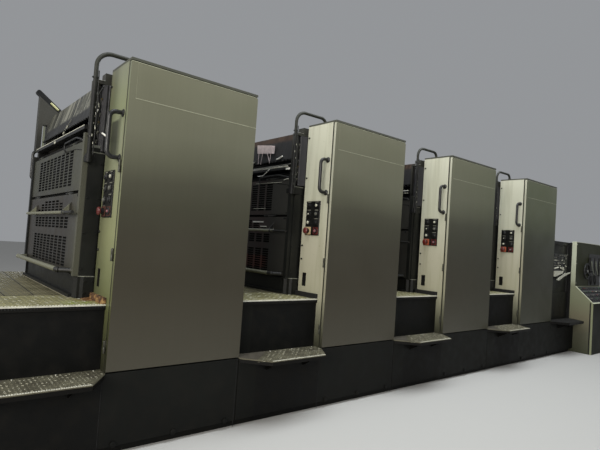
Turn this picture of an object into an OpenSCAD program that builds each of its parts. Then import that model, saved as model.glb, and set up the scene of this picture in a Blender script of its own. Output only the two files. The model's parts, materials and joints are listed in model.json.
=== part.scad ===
/* [Line] */
// Distance from one printing unit to the next
unit_pitch = 1350; // [1300:10:1500]
// Depth from the front door to the rear cover
press_depth = 1900; // [1800:10:2200]
// Height of the dark base from the floor
base_height = 380; // [300:10:450]
// Height of the recessed toe at the foot of the base
toe_height = 40; // [20:5:80]
// Depth of the recessed toe
toe_depth = 30; // [10:5:60]
// Width and depth of the seams in the base front
base_seam = 3; // [1:1:6]

/* [Covers] */
// Width of a front cover
cover_width = 725; // [650:5:800]
// Height of a front door's top edge above the base
cover_height = 1475; // [1400:5:1600]
// Depth of the pale housing behind and including the door
cover_depth = 278; // [240:2:290]
// Thickness of the door
door_thickness = 25; // [18:1:35]
// Gap between the door and what it closes against
door_gap = 5; // [5:1:10]
// Gap under the door
door_foot_gap = 8; // [8:1:14]
// Radius of the door's top free corner
door_corner = 14; // [4:1:30]
// Height of the header line in the door's face
header_line = 1300; // [1200:5:1380]
// Thickness of the dark cap on the housing
cap_thickness = 12; // [8:1:20]
// Radius of the hinge barrels on the door's edge
knuckle_radius = 6; // [5:0.5:7]
// Length of one hinge barrel
knuckle_length = 30; // [20:2:50]
// Heights of the hinges above the base
hinge_heights = [120, 550, 970];
// Width of the upright slot in the cover's left side
vent_width = 39; // [20:1:60]
// Height of that slot
vent_height = 91; // [60:1:140]
// Height of the slot's lower end above the base
vent_foot = 379; // [360:1:450]
// Distance of the slot behind the door face
vent_setback = 202; // [150:1:210]
// Depth of the slot
vent_depth = 12; // [6:1:20]

/* [Landings] */
// Height of the landings above the base
landing_height = 310; // [280:5:340]
// Distance of the riser behind the door face
landing_setback = 80; // [60:5:120]
// Thickness of a landing plate
landing_plate = 6; // [4:1:10]
// Overhang of the landing's nosing
nosing_reach = 10; // [5:1:20]
// Depth of the nosing's lip
nosing_drop = 24; // [15:1:40]
// Gap between the landing and the panel's lower edge
panel_lift = 30; // [20:2:50]
// Depth of the recess under the panel
panel_recess = 15; // [8:1:25]
// Radius of the corner at the foot of the panel
panel_corner = 24; // [10:1:40]

/* [Step plates] */
// How far a step plate stands out from the base
step_reach = 145; // [100:5:200]
// Thickness of a step plate's sheet
step_sheet = 3; // [2:0.5:3]
// Depth of the lip round a step plate
step_drop = 22; // [15:1:35]
// How much the step plate narrows on its left
step_taper_left = 130; // [80:5:180]
// How much the step plate narrows on its right
step_taper_right = 95; // [60:5:150]

/* [Machine frame] */
// Gap between a housing and the side frame behind it
frame_gap = 22; // [15:1:40]
// Thickness of a cast side frame
frame_thickness = 60; // [40:2:90]
// How far the side frames stand out past the cover's edges
frame_reach = 75; // [60:1:85]
// How far the core lies behind the side frames' edges
core_recess = 15; // [10:1:20]
// How far the guards stand out past the cover's edge
guard_reach = 90; // [86:1:95]
// Radius of the side frames' top corners
frame_corner = 40; // [15:1:80]
// Height of the corner blocks above the landing
block_height = 110; // [80:5:150]
// Width of the stiles beside the guards
stile_width = 31; // [25:1:40]
// How far the stiles stand ahead of the guards
stile_lead = 11; // [6:1:16]
// Height of the smooth cover on the outer posts
post_top = 1055; // [1000:5:1090]
// How far that cover stands ahead of the side frame
post_lead = 6; // [3:1:8]
// How far the corner blocks stand ahead of the side frame
block_lead = 14; // [10:1:17]
// Depth of the pipe alcove above the post cover
alcove_depth = 45; // [30:1:50]
// Web left above the pipe alcove
alcove_web = 60; // [50:1:80]
// How far the frame steps down above the alcove
shoulder_drop = 42; // [20:1:60]
// Length of that step along the line
shoulder_length = 50; // [20:1:65]
// Rise of the drive-side cheek above the covers
cheek_rise = 115; // [60:5:140]
// Length of the drive-side cheek along the line
cheek_length = 123; // [90:1:160]
// Diameter of the rounded stay on the cheek's slope
stay_thickness = 30; // [20:1:36]
// Distance of the drive-side cheek's window behind the side frame's edge
window_inset = 5; // [4:1:12]
// Width of that window
window_width = 30; // [15:1:32]
// Height of that window
window_height = 180; // [100:5:185]
// Floor of the inking bay above the base
bay_floor = 1150; // [1140:2:1170]
// Length of the inking bay along the line
bay_length = 405; // [390:5:430]

/* [Guards] */
// Thickness of the guard sheets
guard_sheet = 3; // [2:0.5:4]
// Depth of the folded edges of a guard
guard_fold = 12; // [8:1:14]
// Gap between a guard and the stiles
guard_gap = 6; // [5:1:10]
// Height of the upper guard's hinge line
upper_hinge = 1120; // [1110:1:1125]
// Height of the lower guard's hinge line
lower_hinge = 850; // [830:1:860]
// Height of the lower guard's bottom edge
lower_edge = 433; // [428:1:445]
// Radius of a guard's hinge barrels
barrel_radius = 5; // [4:0.5:6]
// Length of a guard's hinge barrels
barrel_length = 50; // [30:5:80]
// Clearance between the fixed and the moving barrels
barrel_gap = 0.5; // [0.3:0.1:0.8]
// Length of one slot
slot_length = 74; // [50:1:76]
// Height of one slot
slot_height = 11; // [6:0.5:12]
// Distance between slots along a row
slot_pitch = 95; // [85:1:100]
// Distance between rows of slots
row_pitch = 16.5; // [15:0.5:18]
// Diameter of the rod across the lower guard
rod_diameter = 16; // [12:1:30]
// Distance of the rod's axis from the guard
rod_reach = 40; // [30:1:50]
// Height of the rod
rod_height = 742; // [735:1:760]
// Distance of the hinge barrels from the ends of a guard
barrel_inset = 180; // [120:5:260]
// Plain margin between a guard's edge and its first row of slots
slot_margin = 20; // [16:1:40]
// Height of a gusset above the rod
gusset_rise = 60; // [30:1:70]
// Thickness of a gusset
gusset_sheet = 8; // [4:1:12]
// Diameter of the U-shaped pull bar
bar_diameter = 26; // [18:1:30]
// Distance of the pull bar's axis from the guard
bar_reach = 60; // [45:1:65]
// Distance of the gussets and of the rod's end from the ends of the guard
gusset_inset = 150; // [100:5:220]
// Distance of the pull bar's feet from the ends of the guard
bar_inset = 30; // [20:1:60]
// Length of the slanted end of the pull bar
bar_slant = 30; // [20:5:100]

/* [Inking unit] */
// Height of the rail under the fountain
rail_height = 1180; // [1175:1:1190]
// Thickness of the rail
rail_thickness = 20; // [12:1:24]
// Height of the fountain panel's lower edge
fountain_foot = 1260; // [1250:1:1270]
// Height of the fountain panel's top
fountain_top = 1450; // [1440:1:1470]
// Height of the trough's floor behind the panel
fountain_floor = 1323; // [1310:1:1330]
// Distance of the panel's top from the cover's edge
fountain_setback = 14; // [8:1:20]
// How far the panel leans out towards its foot
fountain_lean = 48; // [30:1:60]
// Thickness of the fountain panel
fountain_sheet = 7; // [5:1:9]
// Gap between the fountain's far end and the drive-side frame
fountain_gap = 40; // [20:5:60]
// Radius of the journal that bridges that gap
journal_radius = 12; // [8:1:14]
// Radius of the fountain roller
ductor_radius = 45; // [40:1:45]

/* [Fittings] */
// Diameter of the grab handles
handle_diameter = 22; // [14:1:26]
// Radius of a grab handle's bends
handle_bend = 30; // [20:1:45]
// How far a grab handle stands off its panel
handle_reach = 62; // [55:1:85]
// Distance of a grab handle's feet behind the door face
handle_setback = 58; // [50:1:90]
// Height of a grab handle's lower foot
handle_foot = 1012; // [980:2:1060]
// Distance between a grab handle's feet
handle_height = 218; // [180:2:260]
// Width of a switch panel
switch_width = 136; // [120:2:150]
// Height of a switch panel
switch_height = 232; // [200:2:250]
// Distance of a switch panel behind the door face
switch_setback = 102; // [96:2:120]
// Height of a switch panel's lower edge
switch_foot = 726; // [700:2:760]
// Thickness of a switch panel
switch_plate = 6; // [4:1:10]
// Distance of the switches from the panel's sides
switch_margin = 30; // [26:1:40]
// Diameter of the cover hoses
hose_diameter = 22; // [16:1:30]
// Radius of the hose's upper bend
hose_bend = 75; // [60:1:90]
// Radius of the bend down to the socket on the cap
hose_drop = 45; // [35:1:60]
// Height of the hose's level run above the covers
hose_rise = 86; // [75:1:110]
// Distance of the first unit's hose from the cover's side
hose_reach = 88; // [80:1:110]
// How much further the hoses of the other units stand from the cover's side
hose_shift = 50; // [0:5:70]
// Distance of the hose's socket from the cover's side
hose_socket = 130; // [110:5:200]
// Distance of the hose behind the door face
hose_setback = 250; // [230:1:255]

/* [Right end] */
// Height of the delivery housings above the base
delivery_height = 905; // [800:5:1000]
// Gap between the last cover and the delivery frame
delivery_gap = 85; // [80:1:120]
// Width of the console and of the delivery body behind it
console_width = 800; // [500:5:800]
// Rim round the delivery frame's recess
delivery_rim = 40; // [25:5:60]
// Distance of the console's back behind the door face
console_back = 50; // [20:1:75]
// Distance of the console's front before the door face
console_front = 204; // [160:2:240]
// Thickness of the console's front door
console_door = 22; // [16:1:30]
// Width and depth of the seam behind that door
console_seam = 5; // [3:1:8]
// Height of the desk's back edge above the base
desk_back = 393; // [350:1:430]
// Height of the desk's front edge above the base
desk_front = 206; // [180:1:260]
// Plain margin of the desk round its key plate
desk_margin = 18; // [10:1:40]
// Thickness of the console's upright back
upright_thickness = 52; // [40:1:70]
// Height of the console's upright back above the base
upright_height = 921; // [850:1:980]
// Radius of the hand wheel
wheel_radius = 90; // [60:1:110]
// Height of the hand wheel above the base
wheel_height = 575; // [500:5:780]
// Distance of the hand wheel from the console's left side
wheel_place = 260; // [150:5:400]

/* [Hidden] */
$fn = 32;
units = 4;
seam = 0.5;
elbow_rise = 1.5;
bend_rise = 0.3;
bend_lap = 3;

// Bays between covers, and the whole length of the base
bay = unit_pitch - cover_width;
base_length = units * unit_pitch + bay;
line_left = -bay;
line_right = line_left + base_length;

// Places across the depth of the press
frame_front = cover_depth + frame_gap;
frame_back = press_depth - frame_front;
core_front = frame_front + frame_thickness;
core_back = press_depth - core_front;

// Guard sheet planes and spans
guard_x = -guard_reach;
guard_front = frame_front + stile_width + guard_gap;
guard_back = press_depth - guard_front;
hinge_x = guard_x + guard_sheet / 2;
barrel_drop = barrel_radius + 2;
core_left = -frame_reach + core_recess;
core_right = cover_width + frame_reach - core_recess;

// Door hinge axis, ahead of the cover's left edge
hinge_axis_x = -knuckle_radius - 1;
hinge_axis_y = door_thickness + door_gap / 2;

// Rollers of the inking train: place along the line, height, radius
roller_list = [
    [70, bay_floor + 235, ductor_radius], [137, bay_floor + 188, 35],
    [209, bay_floor + 221, 42], [266, bay_floor + 173, 31], [150, bay_floor + 108, 44],
    [72, bay_floor + 122, 34], [238, bay_floor + 81, 46]
];

// Origin on the floor at the middle of the base
module on_line() {
    translate([-(line_left + line_right) / 2, -press_depth / 2, base_height]) children();
}
module at_unit(n) {
    on_line() translate([(n - 1) * unit_pitch, 0, 0]) children();
}
module front_and_rear() {
    children();
    translate([0, press_depth, 0]) mirror([0, 1, 0]) children();
}
module box(low, high) {
    translate(low) cube([high[0] - low[0], high[1] - low[1], high[2] - low[2]]);
}
// A profile in the X and Z directions, extruded from one depth to another
module across(y0, y1) {
    translate([0, y1, 0]) rotate([90, 0, 0]) linear_extrude(y1 - y0) children();
}
// A profile in the Y and Z directions, extruded from one place along the line to another
module along(x0, x1) {
    translate([x0, 0, 0]) rotate([90, 0, 90]) linear_extrude(x1 - x0) children();
}
module rod_y(x, z, y0, y1, r) {
    translate([x, y0, z]) rotate([-90, 0, 0]) cylinder(r = r, h = y1 - y0);
}
// A round bar between two points
module bar(a, b, r) {
    d = b - a;
    turn = atan2(d[1], d[0]);
    lean = acos(d[2] / norm(d));
    translate(a) rotate([0, lean, turn]) cylinder(r = r, h = norm(d));
}

// A quarter bend in the X and Z directions round a centre, from one angle on
module quarter_bend(centre, y, radius, start, r) {
    translate([centre[0], y, centre[1]]) rotate([90, 0, 0]) rotate([0, 0, start])
        rotate_extrude(angle = 90) translate([radius, 0]) circle(r);
}

module base() {
    color("#24262a") on_line() difference() {
        box([line_left, 0, -base_height], [line_right, press_depth, 0]);
        front_and_rear()
            box([line_left - 1, -1, -base_height - 1],
                [line_right + 1, toe_depth, toe_height - base_height]);
        for (x = [line_left - 1, line_right - toe_depth])
            box([x, -1, -base_height - 1],
                [x + toe_depth + 1, press_depth + 1, toe_height - base_height]);
        front_and_rear() for (n = [0 : units - 1])
            box([n * unit_pitch + cover_width, -1, toe_height - base_height - 1],
                [n * unit_pitch + cover_width + base_seam, base_seam, 1]);
    }
}

// Left edge of each of the bays that carry a landing
function bay_left(k) = line_left + k * unit_pitch;

module risers() {
    color("#212224") on_line() for (k = [0 : units - 1])
        box([bay_left(k), landing_setback, 0],
            [bay_left(k) + bay, press_depth - landing_setback, landing_height - landing_plate]);
}

module landing_plates() {
    color("#8b8268") on_line() for (k = [0 : units - 1]) {
        x0 = bay_left(k) + seam;
        x1 = bay_left(k) + bay - seam;
        box([x0, landing_setback - nosing_reach, landing_height - landing_plate],
            [x1, press_depth - landing_setback + nosing_reach, landing_height]);
        front_and_rear()
            box([x0, landing_setback - nosing_reach, landing_height - nosing_drop],
                [x1, landing_setback - nosing_reach + landing_plate, landing_height]);
    }
}

module step_outline(inset) {
    polygon([
        [inset, landing_setback - seam],
        [inset, 0],
        [step_taper_left + inset * 0.6, -step_reach + inset],
        [bay - step_taper_right - inset * 0.6, -step_reach + inset],
        [bay - inset, 0],
        [bay - inset, landing_setback - seam]
    ]);
}
module step_plate() {
    linear_extrude(step_sheet) step_outline(seam);
    difference() {
        translate([0, 0, -step_drop]) linear_extrude(step_drop) step_outline(seam);
        translate([0, 0, -step_drop - 1]) linear_extrude(step_drop + 1) step_outline(seam + step_sheet);
        box([-1, -step_sheet, -step_drop - 1], [bay + 1, landing_setback + 1, 0]);
    }
    for (x = [step_taper_left + 60, bay - step_taper_right - 60])
        along(x, x + 6)
            polygon([[0, 0], [0, -step_drop - 60], [-10, -step_drop - 60], [-step_reach + 20, -step_drop + 6], [-step_reach + 20, 0]]);
}
module step_plates() {
    color("#8f8e86") on_line() for (k = [0 : units])
        translate([bay_left(k), 0, 0]) front_and_rear() step_plate();
}

// The pale box behind the door, with the dark cap that closes it
module housing() {
    y0 = door_thickness + door_gap;
    cap_low = cover_height + door_gap;
    recess_top = landing_height + panel_lift;
    difference() {
        union() {
            box([0, y0, 0], [cover_width, cover_depth, cap_low]);
            box([0, 0, cap_low], [cover_width, cover_depth, cap_low + cap_thickness]);
        }
        for (side = [0, 1]) translate([side * cover_width, 0, 0]) mirror([side, 0, 0])
            along(-1, panel_recess) difference() {
                translate([landing_setback, -1])
                    square([cover_depth, recess_top + 1]);
                translate([landing_setback, recess_top - panel_corner]) difference() {
                    square(panel_corner);
                    translate([panel_corner, 0]) circle(panel_corner);
                }
            }
        box([-1, vent_setback, vent_foot],
            [vent_depth, vent_setback + vent_width, vent_foot + vent_height]);
    }
    for (z = hinge_heights) {
        translate([hinge_axis_x, hinge_axis_y, z - knuckle_length])
            cylinder(r = knuckle_radius, h = knuckle_length - seam / 2);
        box([hinge_axis_x, hinge_axis_y + 1, z - knuckle_length],
            [1, y0 + knuckle_radius, z - seam / 2]);
    }
}
module front_housing(n) {
    color("#a9a98f") at_unit(n) housing();
}

module door_slab() {
    difference() {
        across(0, door_thickness) difference() {
            translate([0, door_foot_gap]) square([cover_width, cover_height - door_foot_gap]);
            translate([cover_width - door_corner, cover_height - door_corner]) difference() {
                square(door_corner + 1);
                circle(door_corner);
            }
        }
        box([34, -1, header_line - 1], [cover_width + 1, 1, header_line + 1]);
    }
}
module front_door(n) {
    color("#5d5c49") at_unit(n) {
        door_slab();
        for (z = hinge_heights) {
            translate([hinge_axis_x, hinge_axis_y, z + seam / 2])
                cylinder(r = knuckle_radius, h = knuckle_length - seam / 2);
            box([hinge_axis_x, door_thickness - 5, z + seam / 2],
                [1, door_thickness, z + knuckle_length]);
        }
    }
}

// Drive-side cover: the same box and slab, bolted up in one piece
module rear_cover(n) {
    color("#a9a98f") at_unit(n) translate([0, press_depth, 0]) mirror([0, 1, 0]) {
        housing();
        box([0, 0, 0], [cover_width, door_thickness + door_gap, cover_height + door_gap]);
    }
}

module frame_profile() {
    difference() {
        union() {
            square([cover_width, landing_height + 3]);
            translate([-frame_reach, landing_height + 2])
                square([cover_width + 2 * frame_reach, cover_height - landing_height - 2]);
        }
        for (side = [0, 1])
            translate([side * cover_width, 0]) mirror([side, 0])
                translate([frame_corner - frame_reach, cover_height - frame_corner]) difference() {
                    translate([-frame_corner - 1, 0]) square(frame_corner + 1);
                    circle(frame_corner);
                }
    }
}
module core_profile() {
    difference() {
        union() {
            square([cover_width, landing_height + 3]);
            translate([core_left, landing_height + 2])
                square([core_right - core_left, cover_height - landing_height - 2]);
        }
        translate([core_left - 1, bay_floor]) square([bay_length + 1, cover_height]);
    }
}
// Open alcove for pipes at the top of an outer post, and the step in the frame above it
module alcove() {
    for (low = [[8 - frame_reach, post_top + 5], [-frame_reach - 1, bay_floor]])
        box([low[0], frame_front - 1, low[1]],
            [-2, frame_front + alcove_depth, cover_height - alcove_web]);
    box([-frame_reach - 1, frame_front - 1, cover_height - shoulder_drop],
        [shoulder_length - frame_reach, core_front + 1, cover_height + 1]);
}
// Flat outline of a bar with round ends
module round_bar(a, b, r) {
    d = b - a;
    translate(a) circle(r);
    translate(b) circle(r);
    translate(a) rotate(atan2(d[1], d[0])) translate([0, -r]) square([norm(d), 2 * r]);
}
module cheek_window() {
    translate([window_inset - frame_reach, rail_height + rail_thickness + window_inset])
        square([window_width, window_height]);
}
// Drive-side cheek with its window, and the stay along its slope
module cheek() {
    left = guard_x - stile_lead;
    foot = rail_height + 10;
    high = [left, cover_height + cheek_rise];
    low = [left + cheek_length, cover_height + 20];
    fall = (high - low) / norm(high - low);
    lift = [-fall[1], fall[0]] * -(stay_thickness / 2 - 2);
    across(core_back, frame_back) difference() {
        polygon([[left, foot], high, low, [low[0], cover_height - 60], [-10, foot]]);
        cheek_window();
    }
    across(core_back + 5, frame_back - 5)
        round_bar(low + lift, high + fall * 20 + lift, stay_thickness / 2);
}
// Barrels on the frame that the guards hang from
module fixed_barrels(z) {
    for (y = [guard_front + barrel_inset, guard_back - barrel_inset - barrel_length])
        for (side = [-barrel_length - barrel_gap, barrel_length + barrel_gap]) {
            rod_y(hinge_x, z, y + side, y + side + barrel_length, barrel_radius);
            box([hinge_x, y + side, z - 3], [core_left + 1, y + side + barrel_length, z + 3]);
        }
}
module guard_barrels(z) {
    for (y = [guard_front + barrel_inset, guard_back - barrel_inset - barrel_length]) {
        rod_y(hinge_x, z, y, y + barrel_length, barrel_radius);
        box([guard_x, y, z - barrel_drop - 1], [guard_x + guard_sheet, y + barrel_length, z]);
    }
}
module frame(n) {
    low = landing_height + 2;
    block_back = frame_front + stile_width + 5;
    color("#2a2c2a") at_unit(n) {
        difference() {
            union() {
                across(frame_front, core_front) frame_profile();
                across(core_back, frame_back) frame_profile();
                across(core_front, core_back) core_profile();
            }
            for (z = [lower_edge, lower_hinge, upper_hinge])
                box([core_right - base_seam, core_front - 1, z - 2],
                    [core_right + 1, core_back + 1, z + 2]);
            alcove();
            across(core_back - 1, frame_back + 1) cheek_window();
        }
        cheek();
        front_and_rear() {
            box([-frame_reach, frame_front - post_lead, low + block_height - 1],
                [-seam, frame_front + 1, post_top]);
            translate([0, 0, low]) linear_extrude(block_height)
                polygon([
                    [guard_x, block_back], [guard_x, block_back - 8],
                    [guard_x + 38, frame_front - block_lead], [-seam, frame_front - block_lead],
                    [-seam, frame_front + 1], [-frame_reach, block_back]
                ]);
            box([guard_x - stile_lead, frame_front, low + block_height],
                [-frame_reach + 1, frame_front + stile_width, bay_floor]);
        }
        box([guard_x + 10, core_front - 1, low], [core_left + 1, core_back + 1, low + block_height]);
        box([guard_x - 16, frame_front + 40, low], [guard_x + 11, frame_back - 40, low + 16]);
        for (z = [upper_hinge, lower_hinge])
            box([-frame_reach + 5, core_front - 1, z - 12], [core_left + 1, core_back + 1, z + 12]);
        fixed_barrels(upper_hinge);
        fixed_barrels(lower_hinge);
    }
}

// One row after another of slots, centred on the middle of the press
module slots(columns, rows, z) {
    for (i = [0 : columns - 1], j = [0 : rows - 1])
        translate([(i - (columns - 1) / 2) * slot_pitch - slot_length / 2, z + j * row_pitch])
            square([slot_length, slot_height]);
}
// Sheet seen face on, with its slots; folded back at both sides and at the foot
module guard_tray(z0, z1) {
    mid = press_depth / 2;
    half = mid - guard_front;
    translate([guard_x, mid, 0]) rotate([90, 0, 90]) linear_extrude(guard_sheet) difference() {
        translate([-half, z0]) square([2 * half, z1 - z0]);
        children();
    }
    for (y = [guard_front, guard_back - guard_sheet])
        box([guard_x, y, z0], [guard_x + guard_fold, y + guard_sheet, z1]);
    box([guard_x, guard_front, z0], [guard_x + guard_fold, guard_back, z0 + guard_sheet]);
}
module upper_guard(n) {
    z0 = lower_hinge + 2 * barrel_radius;
    color("#4a4b41") at_unit(n) {
        guard_tray(z0, upper_hinge - barrel_drop) slots(9, 12, z0 + slot_margin + guard_fold);
        guard_barrels(upper_hinge);
    }
}
module lower_guard(n) {
    bar_z = lower_edge + bar_diameter / 2;
    bar_x = guard_x - bar_reach;
    above_rod = rod_height + rod_diameter;
    color("#4a4b41") at_unit(n) {
        guard_tray(lower_edge, lower_hinge - barrel_drop) {
            slots(9, 10, lower_edge + slot_margin);
            slots(9, 4, rod_height - 5 * row_pitch);
            slots(8, 1, above_rod);
            slots(6, 2, above_rod + row_pitch);
            slots(4, 1, above_rod + 3 * row_pitch);
        }
        guard_barrels(lower_hinge);
        rod_y(guard_x - rod_reach, rod_height, frame_front - post_lead,
              guard_back - gusset_inset + bar_inset, rod_diameter / 2);
        for (y = [guard_front + gusset_inset, guard_back - gusset_inset - slot_pitch + guard_fold])
            across(y, y + gusset_sheet)
                polygon([
                    [guard_x + 1, rod_height + gusset_rise], [guard_x + 1, rod_height - gusset_sheet],
                    [guard_x - rod_reach, rod_height - gusset_sheet],
                    [guard_x - rod_reach - 6, rod_height + 6]
                ]);
        pull_bar(bar_x, bar_z);
    }
}
// The pull bar runs out from the guard, along it and back
module pull_bar(x, z) {
    r = bar_diameter / 2;
    foot_x = guard_x + guard_sheet / 2;
    near = guard_front + bar_inset;
    far = guard_back - bar_inset;
    bar([foot_x, near, z], [x, near + bar_slant, z], r);
    rod_y(x, z, near + bar_slant, far - bar_slant, r);
    bar([x, far - bar_slant, z], [foot_x, far, z], r);
    for (y = [near + bar_slant, far - bar_slant])
        translate([x, y, z]) sphere(r + elbow_rise);
}

module ink_fountain(n) {
    blade_x = roller_list[0][0] - ductor_radius * 0.8 - 0.4;
    blade_z = roller_list[0][1] - ductor_radius * 0.62;
    foot_x = -fountain_setback - fountain_lean;
    slope = fountain_lean / (fountain_top - fountain_foot);
    floor_x = foot_x + (fountain_floor - fountain_foot) * slope + fountain_sheet;
    color("#6d6d66") at_unit(n) {
        across(core_front, core_back - fountain_gap) polygon([
            [foot_x, fountain_foot], [-fountain_setback, fountain_top],
            [fountain_sheet - fountain_setback, fountain_top], [floor_x, fountain_floor],
            [blade_x, blade_z], [blade_x, blade_z - 10],
            [foot_x + fountain_sheet + 1, fountain_foot + 2]
        ]);
        rod_y(floor_x + journal_radius, fountain_floor - journal_radius,
              core_back - fountain_gap - 1, core_back, journal_radius);
        box([guard_x - 2, core_front, rail_height],
            [core_left + 20, core_back, rail_height + rail_thickness]);
    }
}

module ink_rollers(n) {
    color("#3b3f42") at_unit(n) for (p = roller_list)
        rod_y(p[0], p[1], core_front, core_back, p[2]);
}

// A bent round bar: two feet on the cover, two bends and a straight grip
module grab_handle() {
    r = handle_diameter / 2;
    thin = r - bend_rise;
    x = handle_bend - handle_reach;
    low = handle_foot + handle_bend;
    high = handle_foot + handle_height - handle_bend;
    for (z = [handle_foot, handle_foot + handle_height])
        translate([x - bend_lap, handle_setback, z]) rotate([0, 90, 0])
            cylinder(r = thin, h = bend_lap - x);
    quarter_bend([x, low], handle_setback, handle_bend, 180, r);
    quarter_bend([x, high], handle_setback, handle_bend, 90, r);
    translate([-handle_reach, handle_setback, low - bend_lap])
        cylinder(r = thin, h = high - low + 2 * bend_lap);
}
module grab_handles() {
    color("#141414") for (n = [1 : units]) at_unit(n) front_and_rear() grab_handle();
}

// Eight switches in two columns; the lower back one is a mushroom button on a square plate
module switch_panel() {
    switch_radius = 13;
    square_side = 2 * (switch_margin - 2);
    columns = [switch_margin, switch_width - switch_margin];
    step = (switch_height - 2 * switch_margin) / 3;
    translate([-switch_plate, switch_setback, switch_foot]) {
        cube([switch_plate, switch_width, switch_height]);
        for (y = columns, k = [0 : 3])
            translate([1, y, switch_margin + k * step]) rotate([0, -90, 0])
                cylinder(r = switch_radius, h = 11);
        translate([-4, columns[1] - square_side / 2, switch_margin - square_side / 2])
            cube([5, square_side, square_side]);
        translate([-4, columns[1], switch_margin]) rotate([0, -90, 0])
            cylinder(r = switch_radius - 1, h = 22);
        translate([-20, columns[1], switch_margin]) rotate([0, -90, 0])
            cylinder(r = switch_radius + 7, h = 14);
    }
}
module switch_panels() {
    color("#181818") for (n = [1 : units]) at_unit(n) switch_panel();
}

// Up from a bracket on the post, over the cap and down into a socket on it
module hose(reach) {
    r = hose_diameter / 2;
    thin = r - bend_rise;
    cap_top = cover_height + door_gap + cap_thickness;
    run_z = cover_height + hose_rise;
    foot = post_top - 40;
    left = hose_bend - reach;
    right = hose_socket - hose_drop;
    translate([-reach, hose_setback, foot])
        cylinder(r = thin, h = run_z - hose_bend + bend_lap - foot);
    quarter_bend([left, run_z - hose_bend], hose_setback, hose_bend, 90, r);
    translate([left - bend_lap, hose_setback, run_z]) rotate([0, 90, 0])
        cylinder(r = thin, h = right - left + 2 * bend_lap);
    quarter_bend([right, run_z - hose_drop], hose_setback, hose_drop, 0, r);
    translate([right + hose_drop, hose_setback, cap_top])
        cylinder(r = r + 5, h = run_z - hose_drop - cap_top + 4);
    translate([-reach, hose_setback, foot - 20]) cylinder(r = r + 6, h = 40);
    box([-reach - r, hose_setback, foot - 16],
        [-frame_reach + 12, frame_front - post_lead, foot + 16]);
}
module hoses() {
    color("#101010") for (n = [1 : units]) at_unit(n)
        hose(n == 1 ? hose_reach : hose_reach + hose_shift);
}

// The end of the last unit's cover, and the delivery's own planes
last_right = (units - 1) * unit_pitch + cover_width;
console_left = line_right;
console_right = console_left + console_width;
recess_left = last_right + delivery_gap + delivery_rim;
recess_right = line_right - delivery_rim;
recess_depth = 12;

module delivery_frame() {
    color("#26282b") on_line() difference() {
        box([last_right + delivery_gap, landing_setback, 0],
            [line_right, press_depth - landing_setback, delivery_height]);
        box([recess_left, landing_setback - 1, landing_height],
            [recess_right, landing_setback + recess_depth, delivery_height - delivery_rim]);
    }
}
module delivery_body() {
    color("#2b2d2f") on_line()
        box([console_left, console_back, -base_height],
            [console_right, press_depth - console_back, delivery_height]);
}
// Upright plate of keys in the recess of the delivery frame
module key_panel() {
    recess = recess_right - recess_left;
    x0 = recess_left + recess * 0.05;
    width = recess * 0.88;
    low = delivery_height * 0.55;
    high = delivery_height * 0.84;
    key = [width / 7, 32];
    color("#1c1c1c") on_line() {
        box([x0, landing_setback - 6, low], [x0 + width, landing_setback + recess_depth, high]);
        for (i = [0 : 3], j = [0 : 2]) {
            x = x0 + (i + 0.5) * width / 4 - key[0] / 2;
            z = low + (j + 0.5) * (high - low) / 3 - key[1] / 2;
            box([x, landing_setback - 12, z], [x + key[0], landing_setback - 5, z + key[1]]);
        }
    }
}

// Cabinet with a sloping desk; a seam marks its front door
module console_cabinet() {
    desk_y = console_back - upright_thickness;
    seam_y = console_door - console_front;
    color("#a3a38c") on_line() difference() {
        along(console_left, console_right)
            polygon([
                [console_back, -base_height], [console_back, desk_back], [desk_y, desk_back],
                [-console_front, desk_front], [-console_front, -base_height]
            ]);
        for (x = [console_left - 1, console_right - console_seam])
            box([x, seam_y, -base_height - 1], [x + console_seam + 1, seam_y + console_seam, desk_back]);
    }
}
module console_upright() {
    color("#a3a38c") on_line()
        box([console_left, console_back - upright_thickness, desk_back],
            [console_right, console_back, upright_height]);
}
// Key plate lying on the desk, with four rows of round keys about 68 mm apart
module console_buttons() {
    run = console_front + console_back - upright_thickness;
    slope = atan2(desk_back - desk_front, run);
    length = norm([run, desk_back - desk_front]);
    plate = 4;
    key_radius = 13;
    key_row = console_width - 4 * desk_margin;
    columns = round(key_row / 68);
    key_pitch = key_row / columns;
    color("#161616") on_line()
        translate([console_left, -console_front, desk_front]) rotate([slope, 0, 0]) {
            box([desk_margin, desk_margin, 0], [console_width - desk_margin, length - desk_margin, plate]);
            for (i = [0 : columns - 1], j = [0 : 3])
                translate([2 * desk_margin + (i + 0.5) * key_pitch,
                           desk_margin + (j + 0.5) * (length - 2 * desk_margin) / 4, plate - 1])
                    cylinder(r = key_radius, h = 8);
        }
}
module hand_wheel() {
    place = [console_left + wheel_place, console_back - upright_thickness, wheel_height];
    color("#121212") on_line() translate(place) rotate([90, 0, 0]) {
        cylinder(r = 24, h = 40);
        translate([0, 0, 32]) rotate_extrude() translate([wheel_radius, 0]) circle(9);
        translate([0, 0, 24]) for (a = [90, 210, 330]) rotate([0, 0, a])
            translate([0, -8, 0]) cube([wheel_radius, 16, 12]);
    }
}

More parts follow.
